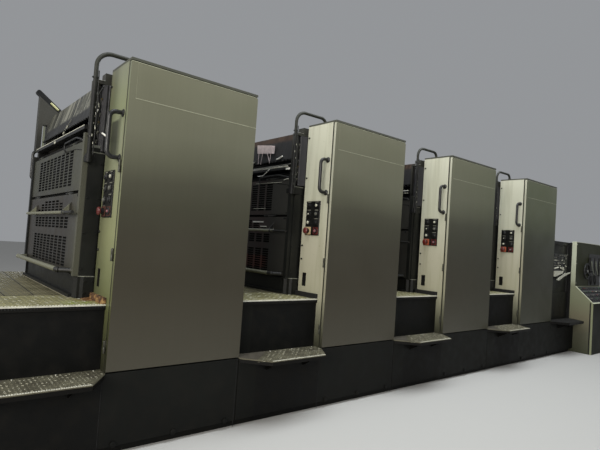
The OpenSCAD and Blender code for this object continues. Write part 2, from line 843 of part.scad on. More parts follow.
base();
risers();
landing_plates();
step_plates();
frame(1);  // unit_1_frame
frame(2);  // unit_2_frame
frame(3);  // unit_3_frame
frame(4);  // unit_4_frame
front_housing(1);  // unit_1_front_housing
front_housing(2);  // unit_2_front_housing
front_housing(3);  // unit_3_front_housing
front_housing(4);  // unit_4_front_housing
front_door(1);  // unit_1_front_door
front_door(2);  // unit_2_front_door
front_door(3);  // unit_3_front_door
front_door(4);  // unit_4_front_door
upper_guard(1);  // unit_1_upper_guard
upper_guard(2);  // unit_2_upper_guard
upper_guard(3);  // unit_3_upper_guard
upper_guard(4);  // unit_4_upper_guard
lower_guard(1);  // unit_1_lower_guard
lower_guard(2);  // unit_2_lower_guard
lower_guard(3);  // unit_3_lower_guard
lower_guard(4);  // unit_4_lower_guard
ink_fountain(1);  // unit_1_ink_fountain
ink_fountain(2);  // unit_2_ink_fountain
ink_fountain(3);  // unit_3_ink_fountain
ink_fountain(4);  // unit_4_ink_fountain
ink_rollers(1);  // unit_1_ink_rollers
ink_rollers(2);  // unit_2_ink_rollers
ink_rollers(3);  // unit_3_ink_rollers
ink_rollers(4);  // unit_4_ink_rollers
rear_cover(1);  // unit_1_rear_cover
rear_cover(2);  // unit_2_rear_cover
rear_cover(3);  // unit_3_rear_cover
rear_cover(4);  // unit_4_rear_cover
grab_handles();
switch_panels();
hoses();
delivery_frame();
delivery_body();
key_panel();
console_cabinet();
console_upright();
console_buttons();
hand_wheel();
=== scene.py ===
# %% [markdown]
# # A sheet-fed offset printing press, dressed in Blender
# Four printing units stand in line on one dark base, with the start of the delivery at the right
# end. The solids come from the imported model, which is loaded here as a fixed frame: nothing in it
# is moved or resized. This script gives every surface the finish of the real one and adds what a
# solid model leaves out, such as tread, bolts, switches, cables, ink and wear.

# %% Load the frame
import json
import math
import random

import bmesh
import bpy
from mathutils import Matrix, Vector


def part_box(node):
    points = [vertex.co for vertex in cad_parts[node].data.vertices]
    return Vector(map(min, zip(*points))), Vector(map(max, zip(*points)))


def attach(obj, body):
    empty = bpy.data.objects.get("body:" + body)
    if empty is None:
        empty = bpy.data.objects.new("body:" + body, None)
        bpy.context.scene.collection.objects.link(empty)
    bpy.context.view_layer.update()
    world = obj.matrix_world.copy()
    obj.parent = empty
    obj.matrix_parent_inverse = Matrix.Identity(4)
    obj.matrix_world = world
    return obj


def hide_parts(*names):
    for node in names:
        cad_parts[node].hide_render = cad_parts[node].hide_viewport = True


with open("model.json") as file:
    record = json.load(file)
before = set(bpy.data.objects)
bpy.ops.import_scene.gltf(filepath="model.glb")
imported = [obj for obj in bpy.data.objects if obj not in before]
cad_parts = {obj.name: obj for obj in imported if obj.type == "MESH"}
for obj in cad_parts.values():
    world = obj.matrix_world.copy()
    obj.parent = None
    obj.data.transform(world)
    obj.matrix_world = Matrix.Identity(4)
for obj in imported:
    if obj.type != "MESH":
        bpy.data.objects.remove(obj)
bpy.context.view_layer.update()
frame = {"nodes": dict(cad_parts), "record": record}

NODES = frame["nodes"]

# %% [markdown]
# ## Sizes shared by all pieces
# The press is measured in millimetres, as its drawings are, and Blender works in metres. One
# printing unit is the pattern for all four, so a place is given in that unit: x runs along the
# line from the left edge of its front door, y into the machine from the door's face, and z up
# from the top of the base. `at` turns such a place into Blender's frame.

# %% Sizes and places
MM = 0.001
UNITS = (1, 2, 3, 4)
UNIT_PITCH = 1350
COVER_WIDTH = 725
COVER_HEIGHT = 1475
PRESS_DEPTH = 1900
BASE_HEIGHT = 380
LANDING_HEIGHT = 310
BAY = UNIT_PITCH - COVER_WIDTH
LINE_MIDDLE = ((len(UNITS) - 1) * UNIT_PITCH + COVER_WIDTH) / 2


def at(x, y, z, unit=1):
    """A place in a printing unit, in metres in Blender's frame."""
    return Vector(
        (
            ((unit - 1) * UNIT_PITCH + x - LINE_MIDDLE) * MM,
            (y - PRESS_DEPTH / 2) * MM,
            (z + BASE_HEIGHT) * MM,
        )
    )


door_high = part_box("unit_1_front_door")[1]
free_edge = at(COVER_WIDTH, 33.5, COVER_HEIGHT)
print("the free edge of door 1 is off by", round((door_high - free_edge).length, 4))

# %% [markdown]
# ## The camera
# The photograph was taken from the left end of the line, at chest height. The place of the
# tripod, the two angles and the lens were fitted to the corners of the four doors. The picture
# leans by four degrees, so the camera is rolled by as much.

# %% Camera
CAMERA_PLACE = at(-753, -2243, 660)
TURN_RIGHT = math.radians(39.55)
LOOK_UP = math.radians(2.33)
ROLL = math.radians(3.99)

forward = Vector(
    (
        math.sin(TURN_RIGHT) * math.cos(LOOK_UP),
        math.cos(TURN_RIGHT) * math.cos(LOOK_UP),
        math.sin(LOOK_UP),
    )
)
level_right = Vector((math.cos(TURN_RIGHT), -math.sin(TURN_RIGHT), 0))
level_up = level_right.cross(forward)
image_right = math.cos(ROLL) * level_right + math.sin(ROLL) * level_up
image_up = math.cos(ROLL) * level_up - math.sin(ROLL) * level_right

camera_data = bpy.data.cameras.new("camera")
camera_data.lens = 28.385
camera_data.sensor_width = 36
camera_data.clip_start = 0.05
camera_data.clip_end = 100
camera = bpy.data.objects.new("camera", camera_data)
bpy.context.scene.collection.objects.link(camera)
camera.matrix_world = (
    Matrix.Translation(CAMERA_PLACE)
    @ Matrix((image_right, image_up, -forward)).transposed().to_4x4()
)
bpy.context.scene.camera = camera
print("camera at", [round(v, 3) for v in CAMERA_PLACE])

# %% [markdown]
# ## Colours and shader nodes
# Colours are written as sRGB hex values, as a colour picker shows them, and one function turns
# them into the linear values that a renderer adds up. One more adds a shader node with its
# settings and its feeds. A feed is a number, a hex colour or the node whose result goes in. It can
# also be a node with a range: the two results that count as 0 and 1, or as two numbers after them.

# %% Helpers for nodes
def linear(code):
    """An sRGB hex value as linear red, green, blue and alpha."""
    shares = [int(code[i : i + 2], 16) / 255 for i in (1, 3, 5)]
    return [s / 12.92 if s <= 0.04045 else ((s + 0.055) / 1.055) ** 2.4 for s in shares] + [1.0]


def feed(tree, node, feeds):
    """Feeds put into the inputs of a node."""
    for key, value in feeds.items():
        if isinstance(value, tuple) and isinstance(value[0], bpy.types.bpy_struct):
            value = add(tree, "MapRange", dict(enumerate(value)))
        if isinstance(value, bpy.types.Node):
            value = next(o for o in value.outputs if o.enabled)
        if isinstance(value, bpy.types.NodeSocket):
            tree.links.new(value, node.inputs[key])
        else:
            node.inputs[key].default_value = linear(value) if isinstance(value, str) else value


def add(tree, kind, feeds=None, stops=None, **settings):
    """One shader node with its settings, its feeds and, for a colour ramp, its stops."""
    made = tree.nodes.new("ShaderNode" + kind)
    for name, value in settings.items():
        setattr(made, name, value)
    feed(tree, made, feeds or {})
    if stops:
        band = made.color_ramp.elements
        while len(band) < len(stops):
            band.new(0.5)
        for element, (place, code) in zip(band, stops):
            element.position = place
            element.color = linear(code)
    return made


# %% [markdown]
# A finish starts from its shader's plain settings. `start_finish` makes the material and gives
# back its tree, its shader and the surface's place in metres. The CAD nodes keep their places in
# their meshes, so that place is the place on the press, and stains differ from unit to unit.
# `unit_place` turns it into millimetres in a printing unit. The other helpers are what a painter
# does with them: mask an area, lay coats of colour, draw streaks and leave a grain.

# %% Helpers for finishes
finishes = {}


def start_finish(name, colour, roughness, metallic=0.0, slot="black_plastic", shine=0.5):
    made = bpy.data.materials.new(name)
    made.use_nodes = True
    tree = made.node_tree
    shader = tree.nodes["Principled BSDF"]
    feed(tree, shader, {"Base Color": colour, "Roughness": roughness, "Metallic": metallic,
                        "Specular IOR Level": shine})
    finishes[name] = (made, slot)
    return tree, shader, add(tree, "TexCoord").outputs["Object"]


def unit_place(tree, place):
    """Millimetres along, into and up the unit, and metres along the whole line."""
    line, deep, high = add(tree, "SeparateXYZ", {0: place}).outputs
    shift = 500
    along = add(tree, "Math", {0: line, 1: (LINE_MIDDLE + shift) * MM}, operation="ADD")
    along = add(tree, "Math", {0: along, 1: UNIT_PITCH * MM}, operation="FLOORED_MODULO")
    unit_parts = [
        add(tree, "Math", {0: part, 1: 1000.0, 2: start}, operation="MULTIPLY_ADD")
        for part, start in ((along, -shift), (deep, PRESS_DEPTH / 2), (high, -BASE_HEIGHT))
    ]
    return unit_parts + [line]


def product(tree, share, *others):
    """Shares multiplied together."""
    for other in others:
        share = add(tree, "Math", {0: share, 1: other}, operation="MULTIPLY")
    return share


def within(tree, value, low, high, blur=2.0):
    """1 where a value lies between two limits, 0 outside them, with a soft edge."""
    rise = (value, low - blur, low + blur)
    return product(tree, rise, (value, high - blur, high + blur, 1.0, 0.0))


def mask(tree, *limits):
    """1 where every value keeps to its own limits."""
    return product(tree, *[within(tree, *limit) for limit in limits])


def coats(tree, tone, *layers):
    """Colours laid over a tone one after the other, each with the share that it covers."""
    for colour, share in layers:
        tone = add(tree, "Mix", {0: share, 6: tone, 7: colour}, data_type="RGBA")
    return tone


def streaks(tree, place, spacing, detail):
    """Noise drawn out along the axes that have small numbers."""
    stretched = add(tree, "Mapping", {"Vector": place, "Scale": spacing})
    return add(tree, "TexNoise", {"Vector": stretched, "Scale": 1.0, "Detail": detail})


def grain(tree, shader, place, scale, detail, height, strength):
    """A fine unevenness that only tilts the light."""
    noise = add(tree, "TexNoise", {"Vector": place, "Scale": scale, "Detail": detail})
    bump = add(tree, "Bump", {"Height": noise, "Distance": height, "Strength": strength})
    feed(tree, shader, {"Normal": bump})


print("material helpers ready")

# %% [markdown]
# ## Machine enamel: door olive, pale housing
# The big doors are sheet steel sprayed with a satin olive enamel. Its tone slides from a pale top
# to a brown-green foot, a painted reflection of the room, and the height at which it turns wanders
# a little. The console at the far end is a darker olive. The housings behind the doors are a pale
# grey-green enamel that has yellowed, darker the nearer it gets to the floor, with fine runs wiped
# down it.

# %% Two enamel colours
CONSOLE_START = (2.99, 3.0)


def door_olive_and_reflection(tree, place, z, line):
    """The olive of the doors with a painted reflection of the room, in millimetres up the door."""
    # Painted reflection: the tone climbs with height up the door, and the height of its turn wanders.
    wander = add(tree, "TexNoise", {"Vector": place, "Scale": 1.3, "Detail": 2.0})
    lift = add(tree, "Math", {0: wander, 1: 200.0, 2: -100.0}, operation="MULTIPLY_ADD")
    level = add(tree, "Math", {0: z, 1: lift}, operation="ADD")
    tone = add(
        tree, "ValToRGB", {0: (level, -100.0, 1550.0)},
        stops=(
            (0.0, "#48453a"), (0.3, "#3f3b2f"), (0.455, "#403d31"), (0.545, "#454436"),
            (0.606, "#4d4c3e"), (0.667, "#5e5e4d"), (0.758, "#6d6d5b"), (0.91, "#73735f"),
            (1.0, "#7b7a66"),
        ),
    )
    down_line = {0: (line, 0.2, 1.7), 6: tone, 7: "#d2dccb"}
    tone = add(tree, "Mix", down_line, data_type="RGBA", blend_type="MULTIPLY")
    cabinet = coats(tree, "#14150c", ("#2f3122", (z, 385.0, 395.0)))
    tone = coats(tree, tone, (cabinet, (line, *CONSOLE_START)))
    wiped = streaks(tree, place, (70.0, 70.0, 0.9), 3.0)
    streaked = {0: 1.0, 6: tone, 7: (wiped, 0.3, 0.7, 0.98, 1.02)}
    return add(tree, "Mix", streaked, data_type="RGBA", blend_type="MULTIPLY")


def housing_tone(tree, place, y, z, line):
    """The pale enamel of the housings, darker towards the foot and greasier on the first unit."""
    level = (z, -380.0, 1480.0)
    clean = add(
        tree, "ValToRGB", {0: level},
        stops=(
            (0.0, "#5b5d4b"), (0.2, "#75775f"), (0.37, "#a7a48d"), (0.55, "#b4b09b"),
            (0.75, "#bdbda9"), (1.0, "#c3c3b0"),
        ),
    )
    greasy = add(
        tree, "ValToRGB", {0: level},
        stops=(
            (0.0, "#3f4232"), (0.37, "#60643f"), (0.42, "#6b6f4d"), (0.55, "#868964"),
            (0.8, "#80846c"), (0.89, "#7d8364"), (1.0, "#777a68"),
        ),
    )
    cabinet = add(
        tree, "ValToRGB", {0: level},
        stops=(
            (0.0, "#434536"), (0.12, "#565546"), (0.226, "#6f6a56"), (0.333, "#787a62"),
            (0.41, "#7d7f68"), (0.45, "#a0a38c"), (0.6, "#b9bca6"),
        ),
    )
    front_strip = mask(tree, (y, -210, -182, 1), (z, -400, 215, 4))
    first = add(tree, "MapRange", {0: line, 1: -1.9, 2: -1.2, 3: 1.0, 4: 0.0})
    runs = streaks(tree, place, (24.0, 24.0, 1.4), 5.0)
    specks = add(tree, "TexNoise", {"Vector": place, "Scale": 95.0, "Detail": 2.0})
    behind_grip = mask(tree, (y, 108, 224, 26), (z, 1030, 1208, 6))
    return coats(
        tree, clean,
        (coats(tree, greasy, ("#3d3f2c", (y, 110.0, 240.0, 0.0, 0.55))), first),
        ("#7d7b5c", (runs, 0.48, 0.78, 0.0, 0.4)),
        ("#5a5440", (specks, 0.68, 0.78, 0.0, 0.35)),
        ("#27261d", (z, 335.0, 0.0, 0.0, 0.92)),
        ("#2e3024", product(tree, behind_grip, (first, 0.0, 0.5, 0.0, 0.9))),
        (coats(tree, cabinet, ("#83866a", front_strip)), (line, *CONSOLE_START)),
    )


# %% [markdown]
# One paint booth sprayed both colours, so one function sets up either finish. Faces that look
# along the line are pale, faces that look out to the aisle are olive. The door's own turned edge
# shows pale too, which is what draws the bright line down its free side. The gloss comes from a
# low roughness that rises where the sheet is greasy. Spray leaves an orange peel of about 4 mm. The
# console has the same paint, gone matt from handling.

# %% Doors and housings
def sprayed_sheet(name, roughness, metallic, turned_edges=False, shine=0.5, slot=None):
    tree, shader, place = start_finish(name, "#6c6b56", roughness, metallic, slot or name, shine)
    x, y, z, line = unit_place(tree, place)
    facing = add(tree, "SeparateXYZ", {0: add(tree, "TexCoord").outputs["Normal"]}).outputs
    side_on = add(tree, "Math", {0: facing[0 if turned_edges else 1]}, operation="ABSOLUTE")
    edge = add(tree, "MapRange", {0: side_on, 1: 0.6, 2: 0.75})
    olive_and_reflection, pale = door_olive_and_reflection(tree, place, z, line), housing_tone(tree, place, y, z, line)
    under, top = (olive_and_reflection, pale) if turned_edges else (pale, olive_and_reflection)
    door_side = product(tree, within(tree, y, 18, 40, 1.5), edge)
    barrel = mask(tree, (x, -30, -1.5, 0.5), (y, 14, 45, 1))
    colour = coats(
        tree, under,
        (top, edge),
        # Painted shade: the recess in the housing's side is painted near black.
        ("#0c0c0b", mask(tree, (y, 200, 243, 1), (z, 377, 472, 1), (x, 2, 40, 1))),
        ("#45463c", (z, 1479.0, 1481.0)),
        ("#34342a", add(tree, "Math", {0: door_side, 1: barrel}, operation="MAXIMUM")),
    )
    grease = add(tree, "TexNoise", {"Vector": place, "Scale": 3.0, "Detail": 4.0})
    rough = (grease, 0.3, 0.7, roughness - 0.06, roughness + 0.12)
    feed(tree, shader, {"Base Color": colour, "Roughness": rough})
    grain(tree, shader, place, 250.0, 1.0, 0.0002, 0.25)


sprayed_sheet("door_metal", 0.36, 0.25, turned_edges=True)
sprayed_sheet("pale_paint", 0.42, 0.0)
sprayed_sheet("console_enamel", 0.5, 0.0, shine=0.15, slot="pale_paint")
print("sprayed:", list(finishes))

# %% [markdown]
# ## Dark enamel on the base
# The base and the risers are cast iron and plate under nearly black machine enamel. Oil and mops
# have dulled it, so it gives back little of the room, and it is darkest towards the foot. Patches
# of half a metre differ a little, which keeps a wall six metres long from looking like one tone.

# %% Base and risers
tree, shader, place = start_finish("base_paint", "#121310", 0.6, slot="base_paint", shine=0.14)
x, y, z, line = unit_place(tree, place)
patches = add(tree, "TexNoise", {"Vector": place, "Scale": 2.2, "Detail": 5.0, "Roughness": 0.6})
dust = add(tree, "TexNoise", {"Vector": place, "Scale": 14.0, "Detail": 6.0})
tone = coats(
    tree, add(tree, "ValToRGB", {0: patches}, stops=((0.32, "#0f100e"), (0.7, "#151613"))),
    ("#0b0b09", (z, -380.0, -120.0, 0.7, 0.0)),
    ("#080808", (x, -8.0, -4.0, 0.7, 0.0)),
    ("#201e1a", (dust, 0.45, 0.75, 0.0, 0.35)),
)
feed(tree, shader, {"Base Color": tone, "Roughness": (dust, 0.3, 0.7, 0.52, 0.72)})
grain(tree, shader, place, 160.0, 2.0, 0.0004, 0.4)

# %% [markdown]
# ## Side frames
# The frames are cast iron under the same dark enamel, thick and a little lumpy. The body behind
# the guards is oily and is painted almost black as painted shade, so the slots of the guards read
# as holes. The tops of the corner block and of the post cover are rubbed to a pale grey by hands
# and cloths and carry a painted highlight, and the outer lip of the rail is a painted highlight.
# The delivery body is a cleaner, lighter grey.

# %% Frames
FIRST_UNIT_END = (-2.2, -1.6)
tree, shader, place = start_finish("frame_paint", "#181917", 0.55, slot="frame_paint", shine=0.3)
x, y, z, line = unit_place(tree, place)
patches = add(tree, "TexNoise", {"Vector": place, "Scale": 6.0, "Detail": 6.0, "Roughness": 0.6})
# Painted shade: the body behind the guards is painted almost black.
behind = mask(tree, (y, 345, 1556), (z, 424, 1176), (x, -88, -30))
stile = mask(tree, (y, 296, 332), (x, -104, -76), (z, 421, 1152))
slope = add(tree, "Math", {0: x, 1: 0.589, 2: -1216.0}, operation="MULTIPLY_ADD")
slope = add(tree, "Math", {0: z, 1: 0.808, 2: slope}, operation="MULTIPLY_ADD")
# Painted highlights: pale grey along the ledge tops, which are also worn, and on the rail's lip.
tops = {0: within(tree, z, 420.5, 424, 0.6), 1: within(tree, z, 1053, 1058, 0.6)}
ledges = add(tree, "Math", tops, operation="ADD")
ledges = product(tree, ledges, mask(tree, (y, 280, 345), (x, -76, 4)))
lip = mask(tree, (x, -94, -88.5, 0.6), (z, 1186, 1203, 1))
tone = coats(
    tree, add(tree, "ValToRGB", {0: patches}, stops=((0.3, "#0f100e"), (0.72, "#181916"))),
    ("#3c3b35", (z, 1100.0, 1400.0, 0.0, 0.8)),
    ("#0a0a09", behind),
    ("#4b4b40", product(tree, stile, (line, *FIRST_UNIT_END, 1.0, 0.0))),
    ("#0d0d0c", mask(tree, (slope, 0, 40, 1), (y, 1520, 1640), (z, 1485, 1650))),
    ("#090908", product(tree, within(tree, line, 2.45, 3.03, 0.01), 0.75)),
    ("#46473f", (line, 3.035, 3.045, 0.0, 0.8)),
    ("#8f9084", add(tree, "Math", {0: ledges, 1: lip}, operation="MAXIMUM")),
)
matt = {0: behind, 2: (patches, 0.3, 0.7, 0.34, 0.6), 3: 0.9}
feed(tree, shader, {"Base Color": tone, "Roughness": add(tree, "Mix", matt, data_type="FLOAT")})
grain(tree, shader, place, 55.0, 4.0, 0.0008, 0.5)

# %% [markdown]
# ## Slotted guards
# The guards are folded sheet with a tired olive paint. From the second unit on they are painted
# darker, as painted shade, and round the slots they are painted black, painted shade that makes the
# slots read larger. The plain strip at the operator's end is lighter, where sleeves and cloths brush
# it, and the second lower guard has a rusty patch. Rods and the pull bar stand clear of the sheet
# and are bare steel, bright along their length and black with grease at their near ends. On the
# later units the gussets are left dark, as painted shade.

# %% Guards
tree, shader, place = start_finish("guard_paint", "#45463a", 0.45, 0.1, slot="guard_paint")
x, y, z, line = unit_place(tree, place)
patches = add(tree, "TexNoise", {"Vector": place, "Scale": 9.0, "Detail": 6.0, "Roughness": 0.65})
lower = add(tree, "ValToRGB", {0: patches}, stops=((0.3, "#27241f"), (0.7, "#322e28")))
upper = add(tree, "ValToRGB", {0: patches}, stops=((0.3, "#33342a"), (0.7, "#3f4034")))
later = add(tree, "MapRange", {0: line, 1: -2.2, 2: -1.6, 3: 0.0, 4: 0.85})
# Painted shade on the guards of the later units.
later_units_shade = coats(tree, "#2b2a27", ("#342724", (y, 520.0, 640.0)))
first_slot, slot_pitch, slot_length = 533.0, 95.0, 74.5
column = add(tree, "Math", {0: y, 1: first_slot}, operation="SUBTRACT")
column = add(tree, "Math", {0: column, 1: slot_pitch}, operation="FLOORED_MODULO")
column = add(tree, "Math", {0: column, 1: slot_length}, operation="LESS_THAN")
rows = within(tree, z, 889, 1087)
for low, high in ((450, 615), (657, 722)):
    rows = add(tree, "Math", {0: rows, 1: within(tree, z, low, high)}, operation="ADD")
low_bar = product(tree, (z, 520.0, 480.0), within(tree, y, 436, 1464, 4))
bright = add(tree, "Math", {0: (y, 500.0, 430.0, 1.0, 0.0), 1: low_bar}, operation="MAXIMUM")
# Painted shade: the gussets of the later units are kept from turning bright.
gusset = product(tree, within(tree, z, 753, 812), later)
bright = add(tree, "Math", {0: bright, 1: gusset}, operation="SUBTRACT", use_clamp=True)
proud = add(tree, "MapRange", {0: x, 1: -101.0, 2: -98.0, 3: 1.0, 4: 0.0})
bare = product(tree, proud, bright)
tone = coats(
    tree, lower,
    (upper, (z, 820.0, 900.0)),
    ("#45453a", (y, 560.0, 380.0, 0.0, 0.6)),
    (later_units_shade, later),
    # Painted shade round the slots, which makes them read larger.
    ("#191914", product(tree, column, rows, within(tree, y, 531, 1369), 0.7)),
    ("#4e2b22", mask(tree, (line, -1.3, -0.9, 0.05), (y, 560, 1400, 20), (z, 470, 562, 4))),
    ("#1d1d1b", proud),
    ("#83836f", bare),
)
feed(tree, shader, {"Base Color": tone, "Metallic": (bare, 0.0, 1.0, 0.1, 0.45),
                    "Roughness": (patches, 0.3, 0.7, 0.34, 0.55)})
grain(tree, shader, place, 40.0, 3.0, 0.0006, 0.35)

# %% [markdown]
# ## Ink fountain and rollers
# The fountain is a bare steel trough. Washed down every day, the first one keeps dull upright runs
# of ink and solvent and is scratched bright at its near end, and the others are varnished brown.
# Their feet are painted black as shade, higher up on the later units. The rollers are rubber on
# steel cores: a wet film of ink makes them glossy, and it is never quite even along the roller.

# %% Fountain and rollers
tree, shader, place = start_finish("fountain_steel", "#77756a", 0.42, 0.5, slot="fountain_steel")
x, y, z, line = unit_place(tree, place)
runs = streaks(tree, place, (2.0, 30.0, 2.0), 5.0)
washed_stops = ((0.4, "#30302a"), (0.5, "#56564c"), (0.63, "#8b8a7e"))
washed = add(tree, "ValToRGB", {0: runs}, stops=washed_stops)
flecks = streaks(tree, place, (22.0, 100.0, 22.0), 2.0)
near = product(tree, (flecks, 0.6, 0.68, 0.0, 0.75), within(tree, y, 420, 900, 120))
browned = add(tree, "ValToRGB", {0: runs}, stops=((0.32, "#33271f"), (0.7, "#57463a")))
later = add(tree, "MapRange", {0: line, 1: -2.2, 2: -1.6})
# Painted shade: the fountain's foot is painted black below a ragged line.
foot = add(tree, "Math", {0: later, 1: 84.0, 2: 1290.0}, operation="MULTIPLY_ADD")
ragged = add(tree, "Math", {0: runs, 1: 36.0, 2: foot}, operation="MULTIPLY_ADD")
above = add(tree, "Math", {0: z, 1: ragged}, operation="SUBTRACT")
foot_shade = add(tree, "MapRange", {0: above, 1: 26.0, 2: 6.0})
tone = coats(tree, washed, ("#b9b8ac", near), (browned, later), ("#121211", foot_shade))
feed(tree, shader, {"Base Color": tone, "Metallic": (foot_shade, 0.0, 1.0, 0.4, 0.0),
                    "Roughness": (runs, 0.3, 0.7, 0.34, 0.58)})

tree, shader, place = start_finish("roller_rubber", "#23262b", 0.25, slot="roller_rubber")
film = streaks(tree, place, (60.0, 5.0, 60.0), 4.0)
tone = add(tree, "ValToRGB", {0: film}, stops=((0.3, "#15161a"), (0.7, "#31353b")))
feed(tree, shader, {"Base Color": tone, "Roughness": (film, 0.3, 0.7, 0.16, 0.45)})

# %% [markdown]
# ## Landings and steps
# The landings are mild steel chequer plate. Oil and shoe dirt have browned them, less on the
# front strip that everyone steps on. Next to the first unit the plate has rusted and a green ink
# has run into the corner. The steps are aluminium chequer plate, dirty between the lozenges and
# bright on top of them. The wings at their sides are left plain and dark, and so is the last step.

# %% Chequer plate
tree, shader, place = start_finish(
    "landing_plate", "#857c62", 0.5, 0.15, slot="landing_plate", shine=0.2
)
x, y, z, line = unit_place(tree, place)
patches = add(tree, "TexNoise", {"Vector": place, "Scale": 7.0, "Detail": 7.0, "Roughness": 0.65})
browned = add(tree, "ValToRGB", {0: patches}, stops=((0.3, "#59553f"), (0.7, "#7b765e")))
trodden = add(tree, "ValToRGB", {0: patches}, stops=((0.3, "#75714f"), (0.7, "#979371")))
tone = coats(tree, browned, (trodden, (y, 445.0, 435.0)))
flaking = add(tree, "TexNoise", {"Vector": place, "Scale": 26.0, "Detail": 5.0})
for centre, reach, code in (
    ((-28, 235, 310), 95, "#7a5530"),
    ((-20, 130, 310), 50, "#a98a5c"),
    ((-84, 150, 310), 110, "#84904a"),
):
    ends = {0: place, 1: tuple(at(*centre))}
    away = add(tree, "VectorMath", ends, operation="DISTANCE").outputs["Value"]
    near = (away, reach * MM, reach * 0.3 * MM)
    first = (line, -2.35, -2.3, 1.0, 0.0)
    tone = coats(tree, tone, (code, product(tree, near, (flaking, 0.35, 0.6), first)))
tone = coats(tree, tone, ("#100f0c", (z, 308.5, 307.0)))
feed(tree, shader, {"Base Color": tone, "Roughness": (patches, 0.3, 0.7, 0.38, 0.7)})

tree, shader, place = start_finish("step_plate", "#8d8c7e", 0.4, 0.6, slot="step_plate", shine=0.12)
x, y, z, line = unit_place(tree, place)
patches = add(tree, "TexNoise", {"Vector": place, "Scale": 11.0, "Detail": 6.0, "Roughness": 0.65})
tone = add(tree, "ValToRGB", {0: patches}, stops=((0.3, "#545044"), (0.72, "#75725f")))
# Painted shade: faces below the tread, the step's front and underside, are near black; the last step is
# dark too.
under, last = (z, -1.0, -3.0), (line, 2.35, 2.4)
dark = add(tree, "Math", {0: under, 1: last}, operation="MAXIMUM")
tone = coats(tree, tone, ("#0e0d0b", dark))
feed(tree, shader, {"Base Color": tone, "Metallic": (dark, 0.0, 1.0, 0.45, 0.0),
                    "Roughness": (patches, 0.3, 0.7, 0.32, 0.58)})

# %% [markdown]
# ## Small-part finishes
# The rest are stock materials on small parts. Each has a faint unevenness in colour and gloss of
# a few centimetres, as handled parts do. The table gives the colour, the roughness, how metallic
# it is and the material slot of the part it belongs to.

# %% Stock finishes
STOCK = {
    # Moulded nylon for handles, plates and knobs: an even black with a low sheen.
    "black_plastic": ("#161616", 0.38, 0.0, "black_plastic"),
    # Extruded rubber and vinyl hose, slightly grey with dust, and a paler vinyl cable sheath.
    "hose_rubber": ("#151514", 0.55, 0.0, "hose_rubber"),
    "grey_sheath": ("#4c4c48", 0.5, 0.0, "hose_rubber"),
    # Zinc-plated screws, and black-oxide ones that only show as rings of light.
    "zinc_screw": ("#9c9b90", 0.35, 0.9, "guard_paint"),
    "black_screw": ("#242422", 0.4, 0.6, "frame_paint"),
    # Ground and worn steel, the brightest metal on the machine, also laid as painted highlights on rods,
    # the rail and the corner block.
    "bright_steel": ("#c4c3b8", 0.3, 0.85, "step_plate"),
    # Turned brass fittings on the air and water lines, dull under oil.
    "brass": ("#6d5c38", 0.4, 0.8, "fountain_steel"),
    # Aluminium nosing, serrated: teeth worn white on top.
    "nosing": ("#d3d1c2", 0.45, 0.2, "landing_plate"),
    # Tops of the lozenges, polished by shoes, and the step's front edge, scuffed white.
    "worn_tread": ("#a8a591", 0.36, 0.45, "step_plate"),
    "worn_edge": ("#cbc9b9", 0.42, 0.2, "step_plate"),
    # Dull folded flashing, tan with old oil, and flakes of rust off the housing's foot.
    "flashing": ("#8b8573", 0.5, 0.2, "landing_plate"),
    "rust_flake": ("#74532f", 0.85, 0.0, "landing_plate"),
    # Painted wing of a step, plain and dark, and the ribbed rubber mat on the last step.
    "wing_paint": ("#524d43", 0.5, 0.2, "step_plate"),
    "rubber_mat": ("#12110f", 0.65, 0.0, "step_plate"),
    # Door beading, also laid as a painted highlight along the doors' top edge, and label stock: pale and
    # matt.
    "pale_bead": ("#a5a68f", 0.45, 0.0, "door_metal"),
    "dull_bead": ("#85866f", 0.5, 0.0, "door_metal"),
    "label": ("#b9b8a8", 0.5, 0.0, "black_plastic"),
    "dull_label": ("#6e6d62", 0.55, 0.0, "black_plastic"),
    # Lamp caps and keys: moulded acrylic, glossy, one colour each.
    "white_key": ("#b9b8a6", 0.28, 0.0, "black_plastic"),
    "grey_key": ("#5f5f57", 0.3, 0.0, "black_plastic"),
    "pink_key": ("#83565a", 0.3, 0.0, "black_plastic"),
    "red_key": ("#7d2420", 0.28, 0.0, "black_plastic"),
    "green_key": ("#3f6b45", 0.28, 0.0, "black_plastic"),
    # Mushrooms of the stop buttons and their square plates, each faded in its own way.
    "maroon_cap": ("#5c2522", 0.3, 0.0, "black_plastic"),
    "dark_red_cap": ("#5e1f18", 0.3, 0.0, "black_plastic"),
    "brown_plate": ("#43241a", 0.42, 0.0, "black_plastic"),
    "tan_plate": ("#b09a76", 0.42, 0.0, "black_plastic"),
    "amber_plate": ("#9c5038", 0.42, 0.0, "black_plastic"),
    # Pale tub of an ink washer, pinkish with old rinse, and white cloth tape and rag ends.
    "tub": ("#c6b8b6", 0.5, 0.0, "pale_paint"),
    "tape_white": ("#e4e2d8", 0.6, 0.0, "pale_paint"),
    # Cream rim round the desk, and a hand wheel of black moulding.
    "desk_rim": ("#c9ccb0", 0.45, 0.0, "pale_paint"),
    "wheel_black": ("#0d0d0c", 0.5, 0.0, "black_plastic"),
    # Grey ledge wiped clean by sleeves, and a moulded cable duct with a violet cast.
    "wash_ledge": ("#70726a", 0.5, 0.1, "frame_paint"),
    "duct": ("#252427", 0.5, 0.0, "hose_rubber"),
    # Open joints and slots: nothing comes back from them.
    "joint_shadow": ("#090909", 0.9, 0.0, "base_paint"),
    # A cream enamel sleeve on the stay of the far cheek.
    "cream_sleeve": ("#b9b88a", 0.4, 0.0, "frame_paint"),
    # Dark glossy console plate, and the streaks of light in its instruments' glass.
    "console_plate": ("#131310", 0.4, 0.0, "black_plastic"),
    "grey_glint": ("#74776a", 0.4, 0.0, "black_plastic"),
}
